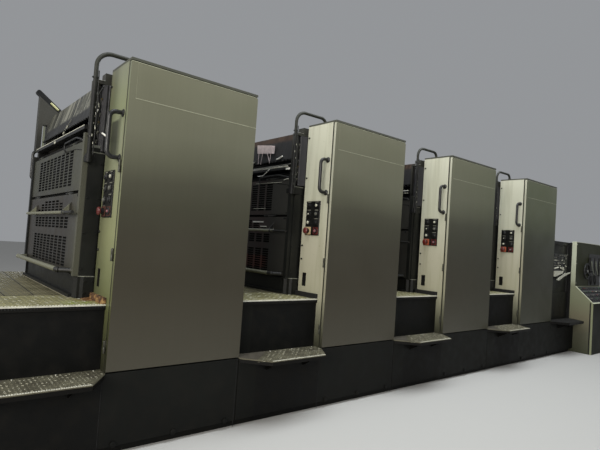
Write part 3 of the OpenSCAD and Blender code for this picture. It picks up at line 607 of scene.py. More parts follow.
for name, (code, roughness, metallic, slot) in STOCK.items():
    tree, shader, place = start_finish(name, code, roughness, metallic, slot)
    handled = add(tree, "TexNoise", {"Vector": place, "Scale": 30.0, "Detail": 4.0})
    faded = {0: 1.0, 6: code, 7: (handled, 0.3, 0.7, 0.82, 1.12)}
    tone = add(tree, "Mix", faded, data_type="RGBA", blend_type="MULTIPLY")
    rough = (handled, 0.3, 0.7, roughness * 0.85, roughness * 1.25)
    feed(tree, shader, {"Base Color": tone, "Roughness": rough})

# %% [markdown]
# Two more finishes change along their length. The hoses are black, with a painted highlight on
# their arches. The angle at the foot of a housing is black too, and on the first unit it has rusted
# through to brown and orange.

# %% Hoses and foot angles
tree, shader, place = start_finish("riser_hose", "#151514", 0.55, slot="hose_rubber", shine=0.3)
x, y, z, line = unit_place(tree, place)
# Painted highlight: the hoses are lighter on their arches.
feed(tree, shader, {"Base Color": coats(tree, "#090908", ("#2c2d26", (z, 1330.0, 1500.0)))})

tree, shader, place = start_finish("foot_angle", "#141311", 0.8, slot="landing_plate")
line = unit_place(tree, place)[-1]
flaking = add(tree, "TexNoise", {"Vector": place, "Scale": 42.0, "Detail": 5.0})
rust_stops = ((0.36, "#22170f"), (0.5, "#5c3d22"), (0.64, "#9c7c4c"))
rust = add(tree, "ValToRGB", {0: flaking}, stops=rust_stops)
tone = coats(tree, "#100f0e", (rust, (line, -2.3, -2.2, 1.0, 0.0)))
feed(tree, shader, {"Base Color": tone})

slots = {part["node"]: part["material_slot"] for part in frame["record"]["subparts"]}
slots["hoses"] = "riser_hose"
slots["hand_wheel"] = "wheel_black"
slots["console_cabinet"] = slots["console_upright"] = "console_enamel"
for name, piece in NODES.items():
    piece.data.materials.clear()
    piece.data.materials.append(finishes[slots[name]][0])
print("finishes:", len(finishes))

# %% [markdown]
# ## Making small solids
# Screws, cables, keys and tread are too small for the solid model, so they are built here as
# meshes. `Work` gathers solids of several finishes into one mesh. It knows the few shapes a
# machine shop makes: a cut block, a sheet outline pushed to a thickness, a turned part, and a
# pipe or cable bent through points. Places are millimetres in a printing unit, as above.

# %% The workbench
TO_LEFT, TO_FRONT, TO_TOP = (-1, 0, 0), (0, -1, 0), (0, 0, 1)


class Work:
    """Small solids gathered in one mesh, in a printing unit's millimetres."""

    def __init__(self, name, unit=1):
        self.name, self.unit = name, unit
        self.mesh, self.used = bmesh.new(), []

    def skin(self, finish, corners, faces, smooth=False):
        """Corners and faces with one finish."""
        if finish not in self.used:
            self.used.append(finish)
        made = [self.mesh.verts.new(at(*corner, self.unit)) for corner in corners]
        for face in faces:
            side = self.mesh.faces.new([made[i] for i in face])
            side.material_index = self.used.index(finish)
            side.smooth = smooth

    def sheet(self, finish, outline, lift):
        """A flat outline pushed along a vector."""
        count, lift = len(outline), Vector(lift)
        corners = [Vector(p) for p in outline] + [Vector(p) + lift for p in outline]
        sides = [(i, (i + 1) % count, (i + 1) % count + count, i + count) for i in range(count)]
        ends = [tuple(reversed(range(count))), tuple(range(count, 2 * count))]
        self.skin(finish, corners, sides + ends)

    def block(self, finish, low, high):
        """A cut block between two corners, with its edges broken by a small chamfer."""
        (x, y, z), (far_x, far_y, far_z) = low, high
        cut = min(far_x - x, far_y - y, far_z - z) * 0.12
        outline = [
            (x + cut, y, z), (far_x - cut, y, z), (far_x, y + cut, z), (far_x, far_y - cut, z),
            (far_x - cut, far_y, z), (x + cut, far_y, z), (x, far_y - cut, z), (x, y + cut, z),
        ]
        self.sheet(finish, outline, (0, 0, far_z - z))

    def tube(self, finish, rings):
        """A skin over rings of equal count, closed at both ends."""
        sides = len(rings[0])
        faces = [
            (k * sides + i, k * sides + (i + 1) % sides, (k + 1) * sides + (i + 1) % sides,
             (k + 1) * sides + i)
            for k in range(len(rings) - 1)
            for i in range(sides)
        ]
        last = (len(rings) - 1) * sides
        ends = [tuple(reversed(range(sides))), tuple(range(last, last + sides))]
        self.skin(finish, [corner for ring in rings for corner in ring], faces + ends, smooth=True)

    def turned(self, finish, start, axis, profile, sides=20):
        """A lathe part: pairs of distance along the axis and radius."""
        start, axis = Vector(start), Vector(axis).normalized()
        out = axis.orthogonal().normalized()
        up = axis.cross(out)
        angles = [2 * math.pi * i / sides for i in range(sides)]
        rings = [
            [start + axis * along + radius * (math.cos(a) * out + math.sin(a) * up) for a in angles]
            for along, radius in profile
        ]
        self.tube(finish, rings)

    def rod(self, finish, start, end, radius, sides=12):
        """A straight bar with its ends broken."""
        run = Vector(end) - Vector(start)
        cut = min(radius * 0.3, run.length * 0.2)
        profile = [(0, radius - cut), (cut, radius), (run.length - cut, radius),
                   (run.length, radius - cut)]
        self.turned(finish, start, run, profile, sides)

    def pipe(self, finish, points, radius, bend=0, sides=10, rib=0):
        """A pipe or cable through points, with rounded corners and, for a rib, rings along it."""
        line = [Vector(p) for p in points]
        if bend:
            rounded = [line[0]]
            for before, corner, after in zip(line, line[1:], line[2:]):
                back, on = before - corner, after - corner
                start = corner + back.normalized() * min(bend, back.length * 0.49)
                end = corner + on.normalized() * min(bend, on.length * 0.49)
                for k in range(6):
                    t = k / 5
                    rounded.append(start * (1 - t) ** 2 + corner * 2 * t * (1 - t) + end * t * t)
            line = rounded + [line[-1]]
        if rib:
            fine = []
            for start, end in zip(line, line[1:]):
                pieces = max(1, round((end - start).length / rib))
                fine += [start.lerp(end, k / pieces) for k in range(pieces)]
            line = fine + [line[-1]]
        runs = [(b - a).normalized() for a, b in zip(line, line[1:])]
        ways = [runs[0]] + [(a + b).normalized() for a, b in zip(runs, runs[1:])] + [runs[-1]]
        out = ways[0].orthogonal().normalized()
        angles = [2 * math.pi * i / sides for i in range(sides)]
        rings = []
        for k, (centre, way) in enumerate(zip(line, ways)):
            out = (out - way * out.dot(way)).normalized()
            up = way.cross(out)
            size = radius * (0.86 if rib and k % 2 else 1)
            rings.append([centre + size * (math.cos(a) * out + math.sin(a) * up) for a in angles])
        self.tube(finish, rings)

    def screw(self, finish, place, axis, radius):
        """A socket-head screw, its head standing on a face."""
        profile = [(0, radius), (radius * 0.8, radius), (radius, radius * 0.85),
                   (radius, radius * 0.45), (radius * 0.4, radius * 0.4)]
        self.turned(finish, place, axis, profile, sides=12)

    def done(self, body="press", slot=None):
        """The finished piece, riding on its body."""
        bmesh.ops.recalc_face_normals(self.mesh, faces=self.mesh.faces[:])
        for edge in self.mesh.edges:
            edge.smooth = len(edge.link_faces) != 2 or edge.calc_face_angle() < math.radians(38)
        data = bpy.data.meshes.new(self.name)
        self.mesh.to_mesh(data)
        self.mesh.free()
        for finish in self.used:
            data.materials.append(finishes[finish][0])
        piece = bpy.data.objects.new(self.name, data)
        bpy.context.scene.collection.objects.link(piece)
        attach(piece, body)
        print(f"{self.name}: {len(data.polygons)} faces on {body}")
        return piece


# %% [markdown]
# ## Chequer plate
# Chequer plate carries lozenges that lean left and right by turns, so a shoe grips in every
# direction. They are about 24 mm apart on the landings and closer on the steps. Each one is a low
# flat-topped ridge of a millimetre and a half, which is enough to catch a streak of light. Shoes
# polish some of them and miss others.

# %% Tread
def tread(work, wear, low, high, top, pitch, keep):
    """Lozenges over a rectangle, their finishes drawn from a list; keep(x, y) says where they are."""
    chance = random.Random(len(work.name))
    half_length, half_width, height = pitch * 0.4, pitch * 0.14, 1.4
    columns = int((high[0] - low[0]) / pitch)
    rows = int((high[1] - low[1]) / pitch)
    for i in range(columns):
        for j in range(rows):
            x = low[0] + pitch * (i + 0.5) + (high[0] - low[0] - columns * pitch) / 2
            y = low[1] + pitch * (j + 0.5) + (high[1] - low[1] - rows * pitch) / 2
            if not keep(x, y):
                continue
            lean = math.radians(45 if (i + j) % 2 else -45)
            along = Vector((math.cos(lean), math.sin(lean), 0))
            across = Vector((-along.y, along.x, 0))
            foot = [along * half_length, across * half_width, -along * half_length,
                    -across * half_width]
            centre = Vector((x, y, top - 0.2))
            rise = Vector((0, 0, height + 0.2))
            corners = [centre + f for f in foot] + [centre + f * 0.6 + rise for f in foot]
            sides = [(k, (k + 1) % 4, (k + 1) % 4 + 4, k + 4) for k in range(4)]
            work.skin(chance.choice(wear), corners, sides + [(4, 5, 6, 7)])


# %% [markdown]
# The landings have a chequered front strip. Behind it lie loose boards of the same plate, which
# show as two long joints and one cross joint. A folded flashing closes the joint to the machine,
# and an aluminium nosing with teeth edges the front. Rust has flaked off at the first housing.

# %% Landings
for unit in UNITS:
    floor_work = Work(f"landing_tread_{unit}", unit)
    left = -BAY + 8

    def on_board(x, y):
        seam = -237 + (y - 480) * 43 / 1450
        clear_of_long = y < 430 or min(abs(x - seam), abs(x + 363)) > 14
        clear_of_cross = x > -236 or x < -384 or abs(y - 446) > 14
        covered = x > -125 and y > 318
        return clear_of_long and clear_of_cross and not covered

    trodden = ("landing_plate", "worn_tread", "landing_plate")
    tread(floor_work, trodden, (left, 90), (-18, 426), LANDING_HEIGHT, 24, on_board)
    tread(floor_work, ("landing_plate",), (left, 426), (-18, 1815), LANDING_HEIGHT, 24, on_board)
    floor_work.done()

    trim = Work(f"landing_trim_{unit}", unit)
    top = LANDING_HEIGHT
    for joint in (
        ((-384, 436), (-236, 456), (-236, 460), (-384, 440)),
        ((-238, 458), (-234, 458), (-191, 1815), (-195, 1815)),
        ((-367, 440), (-363, 440), (-359, 1815), (-363, 1815)),
    ):
        trim.sheet("joint_shadow", [(x, y, top + 0.1) for x, y in joint], (0, 0, 0.6))
    trim.sheet("flashing", [(-107, 330, top), (-66, 330, top), (-66, 330, top + 14),
                            (-70, 330, top + 14), (-74, 330, top + 4), (-107, 330, top + 3)],
               (0, 1240, 0))
    for k in range(7):
        trim.screw("zinc_screw", (-92, 400 + 180 * k, top + 3), TO_TOP, 5)
    trim.block("nosing", (-BAY + 1, 68.8, top - 5), (-1, 71, top + 1.2))
    for k in range(51):
        start = -BAY + 3 + 12.2 * k
        trim.block("nosing", (start, 68.6, top), (start + 6.4, 78, top + 3))
        # Painted shadow of each tooth on the lip below it.
        trim.block("joint_shadow", (start, 67.9, top - 15), (start + 5, 70.2, top - 6.5))
    if unit == 1:
        chance = random.Random(31)
        for k in range(16):
            x, y = chance.uniform(-58, -6), chance.uniform(214, 288)
            size = chance.uniform(7, 15)
            spots = [0, 2, 4] if k % 2 else [0, 1.6, 3.1, 4.7]
            flake = [(x + size * math.cos(a), y + size * math.sin(a), top + 0.5) for a in spots]
            trim.sheet("rust_flake", flake, (chance.uniform(-5, 5), 4, chance.uniform(3, 9)))
    trim.block("foot_angle", (-16, 70, top - 2), (-0.7, 290, top + 32))
    trim.done()

# %% [markdown]
# A step hangs below each landing on both sides of the press. Its right part is aluminium chequer
# plate with a bright toothed edge, and the wing at its left is plain. The step below the delivery
# is covered with a ribbed rubber mat instead.

# %% Steps
def step_span(reach):
    """Left and right end of a step, from the bay's left side, at a place across the press."""
    out = max(0.0, -reach) / 145
    return out * 130, BAY - out * 95


def wing_fold(reach):
    """Where the plain wing ends, from the bay's left side."""
    return 75 + (reach + 84) * 160 / 154


for unit in UNITS + (5,):
    for side in ("front", "rear"):
        step = Work(f"step_tread_{side}_{unit}", unit)

        def turn(x, reach, z, side=side):
            """A place on the step: the rear step is the front one mirrored across the press."""
            return (x - BAY, reach if side == "front" else PRESS_DEPTH - reach, z)

        def bar(finish, low, high):
            """A block between two such places."""
            pairs = [sorted(pair) for pair in zip(turn(*low), turn(*high))]
            step.block(finish, *zip(*pairs))

        if unit == 5:
            mat = [(8, 74), (8, 4), (134, -138), (526, -138), (617, 2), (617, 74)]
            step.sheet("rubber_mat", [turn(x, y, 3) for x, y in mat], (0, 0, 1))
            for k in range(15):
                reach = -134 + 14 * k
                left, right = step_span(reach)
                bar("rubber_mat", (left + 12, reach, 3), (right - 12, reach + 6, 5.2))
            step.done()
            continue

        def chequered(x, y, side=side):
            reach = y if side == "front" else PRESS_DEPTH - y
            right = step_span(reach)[1]
            return wing_fold(reach) + 14 < x + BAY < right - 14 and reach < 66

        ends = (-136, 74) if side == "front" else (PRESS_DEPTH - 74, PRESS_DEPTH + 136)
        scuffed = ("step_plate", "worn_tread", "step_plate")
        tread(step, scuffed, (6 - BAY, ends[0]), (-6, ends[1]), 3, 18, chequered)
        wing = [(4, 74), (4, 2), (72, -78), (wing_fold(74), 74)]
        step.sheet("wing_paint", [turn(x, y, 3) for x, y in wing], (0, 0, 0.7))
        for k in range(42):
            bar("worn_edge", (136 + 9.3 * k, -144.2, 1), (142 + 9.3 * k, -135, 5.4))
        bar("worn_edge", (131, -144.4, 0), (529, -142.8, 4.2))
        for x in (260, 430, 590):
            step.screw("zinc_screw", turn(x, 60, 3), TO_TOP, 5)
        step.done()
print("landings and steps have their tread")

# %% [markdown]
# ## Doors and switch panels
# A pale bead is let into each door below its header and turns up at the free side. The control
# panel on the side of the housing is a black plate with four rows of two. Lamps and keys are
# white, grey or dark in black rings, and the lowest row holds the emergency mushroom on its square
# and a pinkish key. The panels of the solid model are stood in for by these, key by key.

# %% Doors and panels
STOP_BUTTONS = {
    1: ("maroon_cap", "brown_plate"),
    2: ("maroon_cap", "tan_plate"),
    3: ("dark_red_cap", "amber_plate"),
    4: ("maroon_cap", "amber_plate"),
}
for unit in UNITS:
    bead = Work(f"door_bead_{unit}", unit)
    bead.block("pale_bead", (32, -0.7, 1298.6), (724, 0.4, 1301))
    bead.block("dull_bead", (32.6, -0.5, 1301), (33.8, 0.4, 1474))
    # Painted highlight: a pale strip along the door's rounded top edge.
    bead.block("pale_bead", (1, -0.7, 1472.6), (705, 0.4, 1475))
    bead.done(f"unit_{unit}_door")

    panel = Work(f"switch_panel_{unit}", unit)
    panel.block("black_plastic", (-6, 102, 726), (1, 238, 958))
    panel.block("black_screw", (-7.2, 106, 730), (-5.5, 234, 954))
    back, front = 208, 132
    rows = (928, 870.7, 813.3, 756)
    # Painted shade: the first unit's lamps are grey instead of white.
    lamp = "grey_key" if unit == 1 else "white_key"
    keys = (
        (back, 0, "black_plastic", 12), (front, 0, "white_key", 9),
        (back, 1, lamp, 5), (front, 1, "grey_key", 11),
        (back, 2, lamp, 10), (front, 2, "black_plastic", 12),
        (front, 3, "pink_key", 7 if unit == 1 else 10),
    )
    for y, row, finish, radius in keys:
        z = rows[row]
        panel.turned("black_plastic", (-7, y, z), TO_LEFT, [(0, 19), (4, 19), (5, 17)])
        panel.turned(finish, (-9, y, z), TO_LEFT, [(0, radius), (7, radius), (9, radius - 3)])
    for y, z in ((back, 953), (front, 953), (back, 898), (front, 898), (front, 840), (back, 783)):
        panel.block("dull_label", (-7.9, y - 17, z - 4), (-6.9, y + 17, z + 1))
    z = rows[3]
    cap, plate = STOP_BUTTONS[unit]
    panel.block(plate, (-8.6, back - 30, z - 26), (-7, back + 30, z + 26))
    panel.turned("black_plastic", (-8, back, z), TO_LEFT, [(0, 17), (9, 17), (9, 11), (18, 11)])
    mushroom = [(16, 13), (19, 20), (25, 21), (29, 18), (31.5, 9), (32, 1)]
    panel.turned(cap, (-7.5, back, z), TO_LEFT, mushroom, sides=28)
    surround = "brown_plate" if unit == 1 else "maroon_cap"
    panel.block(surround, (-7.9, front - 26, z - 24), (-7.1, front + 24, z + 24))
    for y in (107, 233):
        for z in (732, 952):
            panel.screw("black_screw", (-7.2, y, z), TO_LEFT, 3.5)
    panel.done()
    if unit == 1:
        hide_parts("switch_panels")

# %% [markdown]
# ## Housings, handles and hoses
# Two screws sit at the rear edge of each housing side, as in the photograph, and the cap has its
# screws too. The grab handles get rosettes, and the hoses their worm-drive clips and a bracket
# screw, all of them dark. The rear covers carry the same screws and a joint down the middle, where
# they part.

# %% Housings
HOSE_LEG = {1: -88, 2: -138, 3: -138, 4: -138}
for unit in UNITS:
    trim = Work(f"housing_screws_{unit}", unit)
    for face, out in ((0, -1), (COVER_WIDTH, 1)):
        for near in (True, False):
            for y, z in ((263, 654), (260, 562), (263, 1120), (263, 1400)):
                place = y if near else PRESS_DEPTH - y
                trim.screw("black_screw", (face, place, z), (out, 0, 0), 6.5)
    for near in (True, False):
        for x in (40, 360, 690):
            for y in (30, 250):
                place = y if near else PRESS_DEPTH - y
                trim.screw("zinc_screw", (x, place, 1492), TO_TOP, 6)
        for z in (1012, 1230):
            y = 58 if near else PRESS_DEPTH - 58
            trim.turned("black_plastic", (0, y, z), TO_LEFT, [(0, 19), (3, 19), (6, 14), (8, 12)])
    far = PRESS_DEPTH
    trim.block("joint_shadow", (361, far - 0.5, 20), (365, far + 0.4, 1470))
    for x in (330, 396):
        for z in (380, 1050):
            trim.turned("black_plastic", (x, far, z), (0, 1, 0), [(0, 16), (4, 16), (6, 12), (14, 12)])
    trim.done()

    clips = Work(f"hose_clips_{unit}", unit)
    leg = HOSE_LEG[unit]
    for z in (1120, 1420):
        clips.turned("black_screw", (leg, 250, z), TO_TOP, [(0, 12.4), (8, 12.4)])
        clips.block("black_screw", (leg - 16, 246, z + 1), (leg - 11, 255, z + 7))
    clips.turned("black_screw", (130, 250, 1493), TO_TOP, [(0, 24), (4, 24), (5, 20)])
    clips.turned("black_screw", (130, 250, 1496), TO_TOP, [(0, 18), (16, 18), (18, 16)], sides=6)
    clips.screw("black_screw", (leg + 26, 260, 1031), TO_TOP, 5)
    clips.done()

# %% [markdown]
# ## The service alcove
# Between the housing and the guards the frame is open, and the lines of the unit rise there. Half
# of the opening is covered by a smooth moulded duct, and a dark sheet over its edge next to the
# housing is painted shade. Beside it run air hoses, thin grey cables, a ribbed conduit and a few
# fittings, black with oil; small pale tabs among them are painted glints. Each line is a pipe bent
# through its own points, and no two units are routed quite alike. The numbers come from a seeded
# generator, so the picture is the same every time.

# %% Alcoves
for unit in UNITS:
    chance = random.Random(40 + unit)
    lines = Work(f"alcove_lines_{unit}", unit)
    duct_left = -34 if unit == 1 else -48
    duct = [(duct_left, 304), (duct_left + 6, 298), (-4, 281), (-1, 282), (-2.5, 344),
            (duct_left, 344)]
    lines.sheet("duct", [(x, y, 1066) for x, y in duct], (0, 0, 346))
    # Painted shade: a dark sheet over the duct's edge beside the housing.
    lines.sheet("joint_shadow", [(-15, 286.5, 1066), (-1, 280.5, 1066), (-1, 290, 1066),
                                 (-15, 300, 1066)], (0, 0, 346))
    room = duct_left + 70
    for k in range(5):
        x = -70 + room * (k + 0.5) / 5
        radius = (3.4, 2.2, 3.6, 2.4, 2.8)[k]
        finish = ("hose_rubber", "grey_sheath", "hose_rubber", "black_plastic", "hose_rubber")[k]
        depth = 304 + chance.uniform(0, 16)
        points = [(x, 332, 1064)]
        for z in range(1110, 1400, 58):
            points.append((x + chance.uniform(-2, 2), depth + chance.uniform(-4, 4), z))
        points.append((x, 330, 1408))
        lines.pipe(finish, points, radius, bend=24)
    lines.pipe("black_screw", [(-72, 300, 1075), (-74, 298, 1200), (-72, 299, 1320), (-70, 306, 1405)],
               6, bend=40, rib=5, sides=12)
    for k in range(6):
        z = 1108 + 48 * k + chance.uniform(-14, 14)
        x = -66 + room * chance.uniform(0.05, 0.9)
        finish = chance.choice(("brass", "grey_sheath", "dull_label"))
        lines.turned(finish, (x, 302, z), TO_FRONT, [(0, 5), (4, 5), (4, 3), (6, 3)], sides=6)
        # Painted glint: a pale tab beside each fitting.
        lines.block("dull_label", (x - 4, 299.5, z - 15), (x - 1.5, 301, z - 15 + chance.uniform(8, 20)))
    lines.block("tape_white", (-72, 300, 1430), (-26, 331, 1434))
    leg = HOSE_LEG[unit]
    for k, beside in enumerate((13.5, 15.5)):
        depth = 262 - 20 * k
        lines.pipe("hose_rubber", [(leg + beside, depth, 1036), (leg + beside + 2, depth, 1200),
                                   (leg + beside, depth + 4, 1360), (leg + beside - 3, depth, 1460)],
                   2.8, bend=30)
    # Painted glints: small pale tabs beside the hose leg.
    for k in range(9):
        z = 1062 + 34 * k + chance.uniform(-12, 12)
        x, tall = leg + chance.uniform(-8, 16), chance.uniform(5, 16)
        finish = chance.choice(("dull_label", "grey_sheath", "label"))
        lines.block(finish, (x, 236.5, z), (x + 3, 238.6, z + tall))
    if unit == 1:
        lines.rod("tape_white", (-62, 296, 1249), (-49, 296, 1278), 3.2)
        lines.rod("label", (-51, 296, 1312), (-47, 296, 1288), 2)
        lines.rod("label", (-60, 296, 1193), (-56, 296, 1166), 2.4)
        lines.rod("tape_white", (-48, 197, 1141), (-48, 114, 1112), 4.5)
        lines.rod("label", (-49, 130, 1189), (-49, 131, 1138), 3)
        lines.block("frame_paint", (-74, 294, 1057), (-4, 342, 1080))
        lines.block("wash_ledge", (-80, 292, 1080), (-24, 342, 1093))
        lines.pipe("grey_sheath", [(-30, 299, 1406), (-46, 297, 1376), (-60, 298, 1342)], 1.8, bend=12)
    lines.done()

    post = Work(f"post_trim_{unit}", unit)
    for z in (460, 640, 820, 1000):
        for x in (-66, -10):
            post.screw("black_screw", (x, 294, z), TO_FRONT, 4.5)
    for x, z in ((-46, 340), (-8, 340), (-46, 396), (-8, 396)):
        post.screw("black_screw", (x, 286, z), TO_FRONT, 5.5)
    # Worn edges with a painted highlight: pale strips along the tops of the corner block and the post
    # cover.
    post.block("bright_steel", (-50, 286, 421), (-2, 287.5, 423))
    post.block("dull_label", (-73, 294, 1054), (-2, 295.5, 1056.4))
    post.done()

# %% [markdown]
# ## Guards, rail and fountain
# The guards are held by small screws, a bent black rod is their lift handle, and a dark line below
# it is painted shade under a folded edge. A pale strip along the rail's upper edge and a pale patch
# on its face are painted highlights. Along the foot of the ink fountain stands a row of ink keys,
# one for each strip of the sheet, black with ink, and a pale lever throws the fountain on and off.
# A cream sleeve covers the lower part of the far stay.

# %% Guards and fountain
for unit in UNITS:
    upper = Work(f"upper_guard_trim_{unit}", unit)
    for y in (350, 1550):
        for z in (872, 1060):
            upper.screw("black_screw", (-91, y, z), TO_LEFT, 4)
    handle = [(-91, 692, 1090), (-103, 692, 1098), (-104, 688, 1136), (-104, 451, 1142),
              (-104, 352, 1122), (-91, 345, 1112)]
    upper.pipe("black_plastic", handle, 4.5, bend=16)
    # Painted shade under the lower edge of a folded flap.
    upper.pipe("joint_shadow", [(-91, 752, 1092), (-91, 491, 1086), (-91, 345, 1066)], 2, bend=40)
    upper.done(f"unit_{unit}_upper")

    lower = Work(f"lower_guard_trim_{unit}", unit)
    for y in (350, 1550):
        for z in (462, 832):
            lower.screw("black_screw", (-91, y, z), TO_LEFT, 4)
    lower.turned("joint_shadow", (-89, 372, 834), TO_LEFT, [(0, 8), (3, 8), (4, 6)])
    lower.turned("black_plastic", (-130, 464, 742), (0, 1, 0), [(0, 9), (2, 11), (16, 11), (18, 9)])
    lower.done(f"unit_{unit}_lower")

    keys = Work(f"ink_keys_{unit}", unit)
    for k in range(27):
        y = 386 + 41.2 * k
        keys.turned("black_screw", (-58, y, 1252), (-1, 0, -0.35),
                    [(0, 4), (8, 4), (8, 6.5), (17, 6.5), (18, 5)], sides=10)
    # Painted highlights: a pale strip along the rail's upper edge and a pale patch on its face.
    keys.block("label", (-92.9, 361, 1196.6), (-91.2, 1539, 1200.8))
    keys.block("label", (-93.4, 985, 1178), (-91.5, 1022, 1190))
    keys.rod("white_key", (-67, 921, 1231), (-65, 832, 1270), 4.2)
    keys.rod("grey_key", (-65, 832, 1270), (-58, 790, 1302), 2.6)
    keys.done()

    sleeve = Work(f"stay_sleeve_{unit}", unit)
    sleeve.rod("cream_sleeve", (24, 1543, 1509), (-31, 1543, 1551), 7.5)
    sleeve.done()

# %% [markdown]
# The second unit has been left half washed. A pinkish tub is hooked over its fountain with a rag
# hanging from it. A bright rod on the rail is a painted highlight along it, white cord ends hang
# over it, and strips of tape show on the dark guards below, where a bright line along a rod is a
# painted highlight. On the third unit the near end of the rail is worn white.

# %% Wash-up things on unit 2
wash_up_and_highlight = Work("wash_up_2", 2)
tub_face = [(-78, 597, 1316), (-78, 783, 1334), (-81, 786, 1398), (-81, 592, 1374)]
wash_up_and_highlight.sheet("tub", tub_face, (26, 0, 2))
for start, end in (((-79, 760, 1334), (-74, 770, 1250)), ((-79, 712, 1328), (-73, 738, 1246)),
                   ((-79, 650, 1322), (-73, 624, 1256)), ((-79, 606, 1318), (-73, 622, 1246))):
    wash_up_and_highlight.rod("tub", start, end, 2.2)
# Painted highlight along the rail, laid as a bright rod.
wash_up_and_highlight.rod("bright_steel", (-62, 900, 1219), (-62, 383, 1221), 3)
wash_up_and_highlight.rod("tape_white", (-93, 900, 1204), (-93, 372, 1204), 1.5)
wash_up_and_highlight.pipe("tape_white", [(-70, 540, 1268), (-66, 512, 1272), (-62, 482, 1288)], 5, bend=14)
wash_up_and_highlight.block("tape_white", (-96, 344, 1176), (-92, 386, 1188))
wash_up_and_highlight.pipe("tape_white", [(-97, 727, 1150), (-97, 661, 1149), (-97, 584, 1192)], 2.6, bend=20)
wash_up_and_highlight.done()

guard_bits = Work("guard_tape_2", 2)
# Painted highlight along the top of the guard's rod.
guard_bits.rod("bright_steel", (-131, 806, 751), (-131, 432, 751), 3)
guard_bits.block("tape_white", (-92.4, 618, 802), (-90.8, 756, 811))
guard_bits.block("tape_white", (-92.4, 576, 771), (-90.8, 652, 776))
guard_bits.done("unit_2_lower")

guard_bits = Work("guard_lines_2", 2)
guard_bits.block("label", (-92.2, 600, 905), (-90.8, 758, 908))
guard_bits.rod("label", (-92, 753, 1094), (-92, 426, 1090), 1.4)
guard_bits.pipe("tape_white", [(-93, 404, 1104), (-93, 376, 1110), (-93, 350, 1110)], 2.4, bend=10)
guard_bits.done("unit_2_upper")

third = Work("rail_ends_3", 3)
third.block("tape_white", (-93.6, 366, 1196), (-91.5, 432, 1201))
third.block("label", (-93.6, 364, 1176), (-91.5, 412, 1179))
third.done()

# %% [markdown]
# ## Tops and far sides of the units
# The photograph does not show these sides, so they are finished plainly with what the visible
# parts call for: bolts round the plates, a lid with a handle over the rollers, a joint line at
# every cover, and louvres where a drive needs air.

# %% Far sides
for unit in UNITS:
    far = Work(f"far_side_{unit}", unit)
    for y in (420, 800, 1100, 1480):
        for z in (120, 460, 800):
            far.screw("black_screw", (785, y, z), (1, 0, 0), 7)
    for k in range(9):
        z = 520 + 26 * k
        far.block("joint_shadow", (784.6, 620, z), (786, 1280, z + 8))
        far.block("frame_paint", (785, 620, z + 8), (791, 1280, z + 11))
    far.block("frame_paint", (784, 560, 940), (788, 1340, 1040))
    far.pipe("black_plastic", [(786, 830, 990), (812, 830, 990), (812, 1070, 990),
                               (786, 1070, 990)], 7, bend=18)
    far.done()

# %% [markdown]
# The base is built of one bed under each unit. The beds meet at upright joints below the doors'
# edges, and large screws hold them together. Small levelling bolts stand at the floor.

# %% Base joints
base_trim = Work("base_trim")
for unit in UNITS:
    shift = (unit - 1) * UNIT_PITCH
    for side in (-1, 1):
        face = 0 if side < 0 else PRESS_DEPTH
        ends = sorted((face + side * 0.5, face - side * 1.5))
        for x in (shift + COVER_WIDTH - 12, shift - 14):
            base_trim.block("joint_shadow", (x, ends[0], -372), (x + 3, ends[1], -4))
        for x in (shift + 60, shift + 360, shift + 660):
            base_trim.turned("base_paint", (x, face, -330), (0, side, 0), [(0, 15), (7, 15), (9, 12)],
                             sides=6)
base_trim.done()

# %% [markdown]
# ## The delivery and its console
# Right of the last unit stands the dark delivery frame with a black key panel: rows of small worn
# keys, a white block and a pale flat lever across its foot. Next to it the console desk slopes towards
# the operator. Its keys are grey, with a few red, green and white ones among them, and a pale rim
# holds the plate.

# %% Key panel
delivery = Work("delivery_key_panel")
chance = random.Random(7)
for row in range(5):
    for column in range(7):
        x, z = 4950 + 52 * column, 738 - 30 * row
        finish = chance.choice(("grey_key", "dull_label", "black_plastic", "white_key"))
        wide, slant = chance.uniform(16, 34), chance.uniform(-8, 8)
        key = [(x, 62, z), (x + wide, 62, z + slant), (x + wide, 62, z + slant + 9), (x, 62, z + 9)]
        delivery.sheet(finish, key, (0, 7, 0))
for start, end in (((4952, 60, 588), (5060, 60, 602)), ((5120, 60, 600), (5206, 60, 574)),
                   ((5180, 60, 606), (5206, 60, 574))):
    delivery.rod("label", start, end, 8)
lever_block = [(4952, 56, 496), (4978, 56, 494), (5176, 56, 536), (5200, 56, 562), (4960, 56, 560)]
delivery.sheet("label", lever_block, (0, 12, 0))
lever = [(5014, 52, 458), (5070, 52, 450), (5250, 52, 510), (5392, 52, 542), (5392, 52, 550),
         (5236, 52, 534), (5080, 52, 486)]
delivery.sheet("label", lever, (0, 8, 0))
delivery.block("label", (4960, 120, 905), (5090, 176, 930))
for x in (4930, 5320):
    for z in (504, 754):
        delivery.screw("zinc_screw", (x, 68, z), TO_FRONT, 4)
for x in (4872, 4888, 5376, 5390):
    for z in (90, 330, 600, 860):
        delivery.screw("black_screw", (x, 80, z), TO_FRONT, 6)
delivery.done()

# %% [markdown]
# The desk plate carries the keys of the solid model; caps of colour and legends are laid on them
# here. The slope is worked out from the desk's two edges, so that every cap lies flat on it. On
# the upright hang a hand wheel and a dark plate with three instruments, whose glass carries dull
# streaks of painted reflection, and their conduits.

# %% Console
CONSOLE_RIGHT = round(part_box("console_cabinet")[1].x / MM + LINE_MIDDLE)
desk_back, desk_front = Vector((0, -2, 393)), Vector((0, -204, 206))
slope = (desk_front - desk_back).normalized()
lift = Vector((0, slope.z, -slope.y))


def on_desk(x, down, rise):
    """A place on the sloping desk: along it, down the slope and off its face."""
    return Vector((x, 0, 0)) + desk_back + slope * down + lift * rise


def desk_patch(left, right, near, far, rise):
    """The four corners of a patch on the desk."""
    corners = ((left, near), (right, near), (right, far), (left, far))
    return [on_desk(x, down, rise) for x, down in corners]


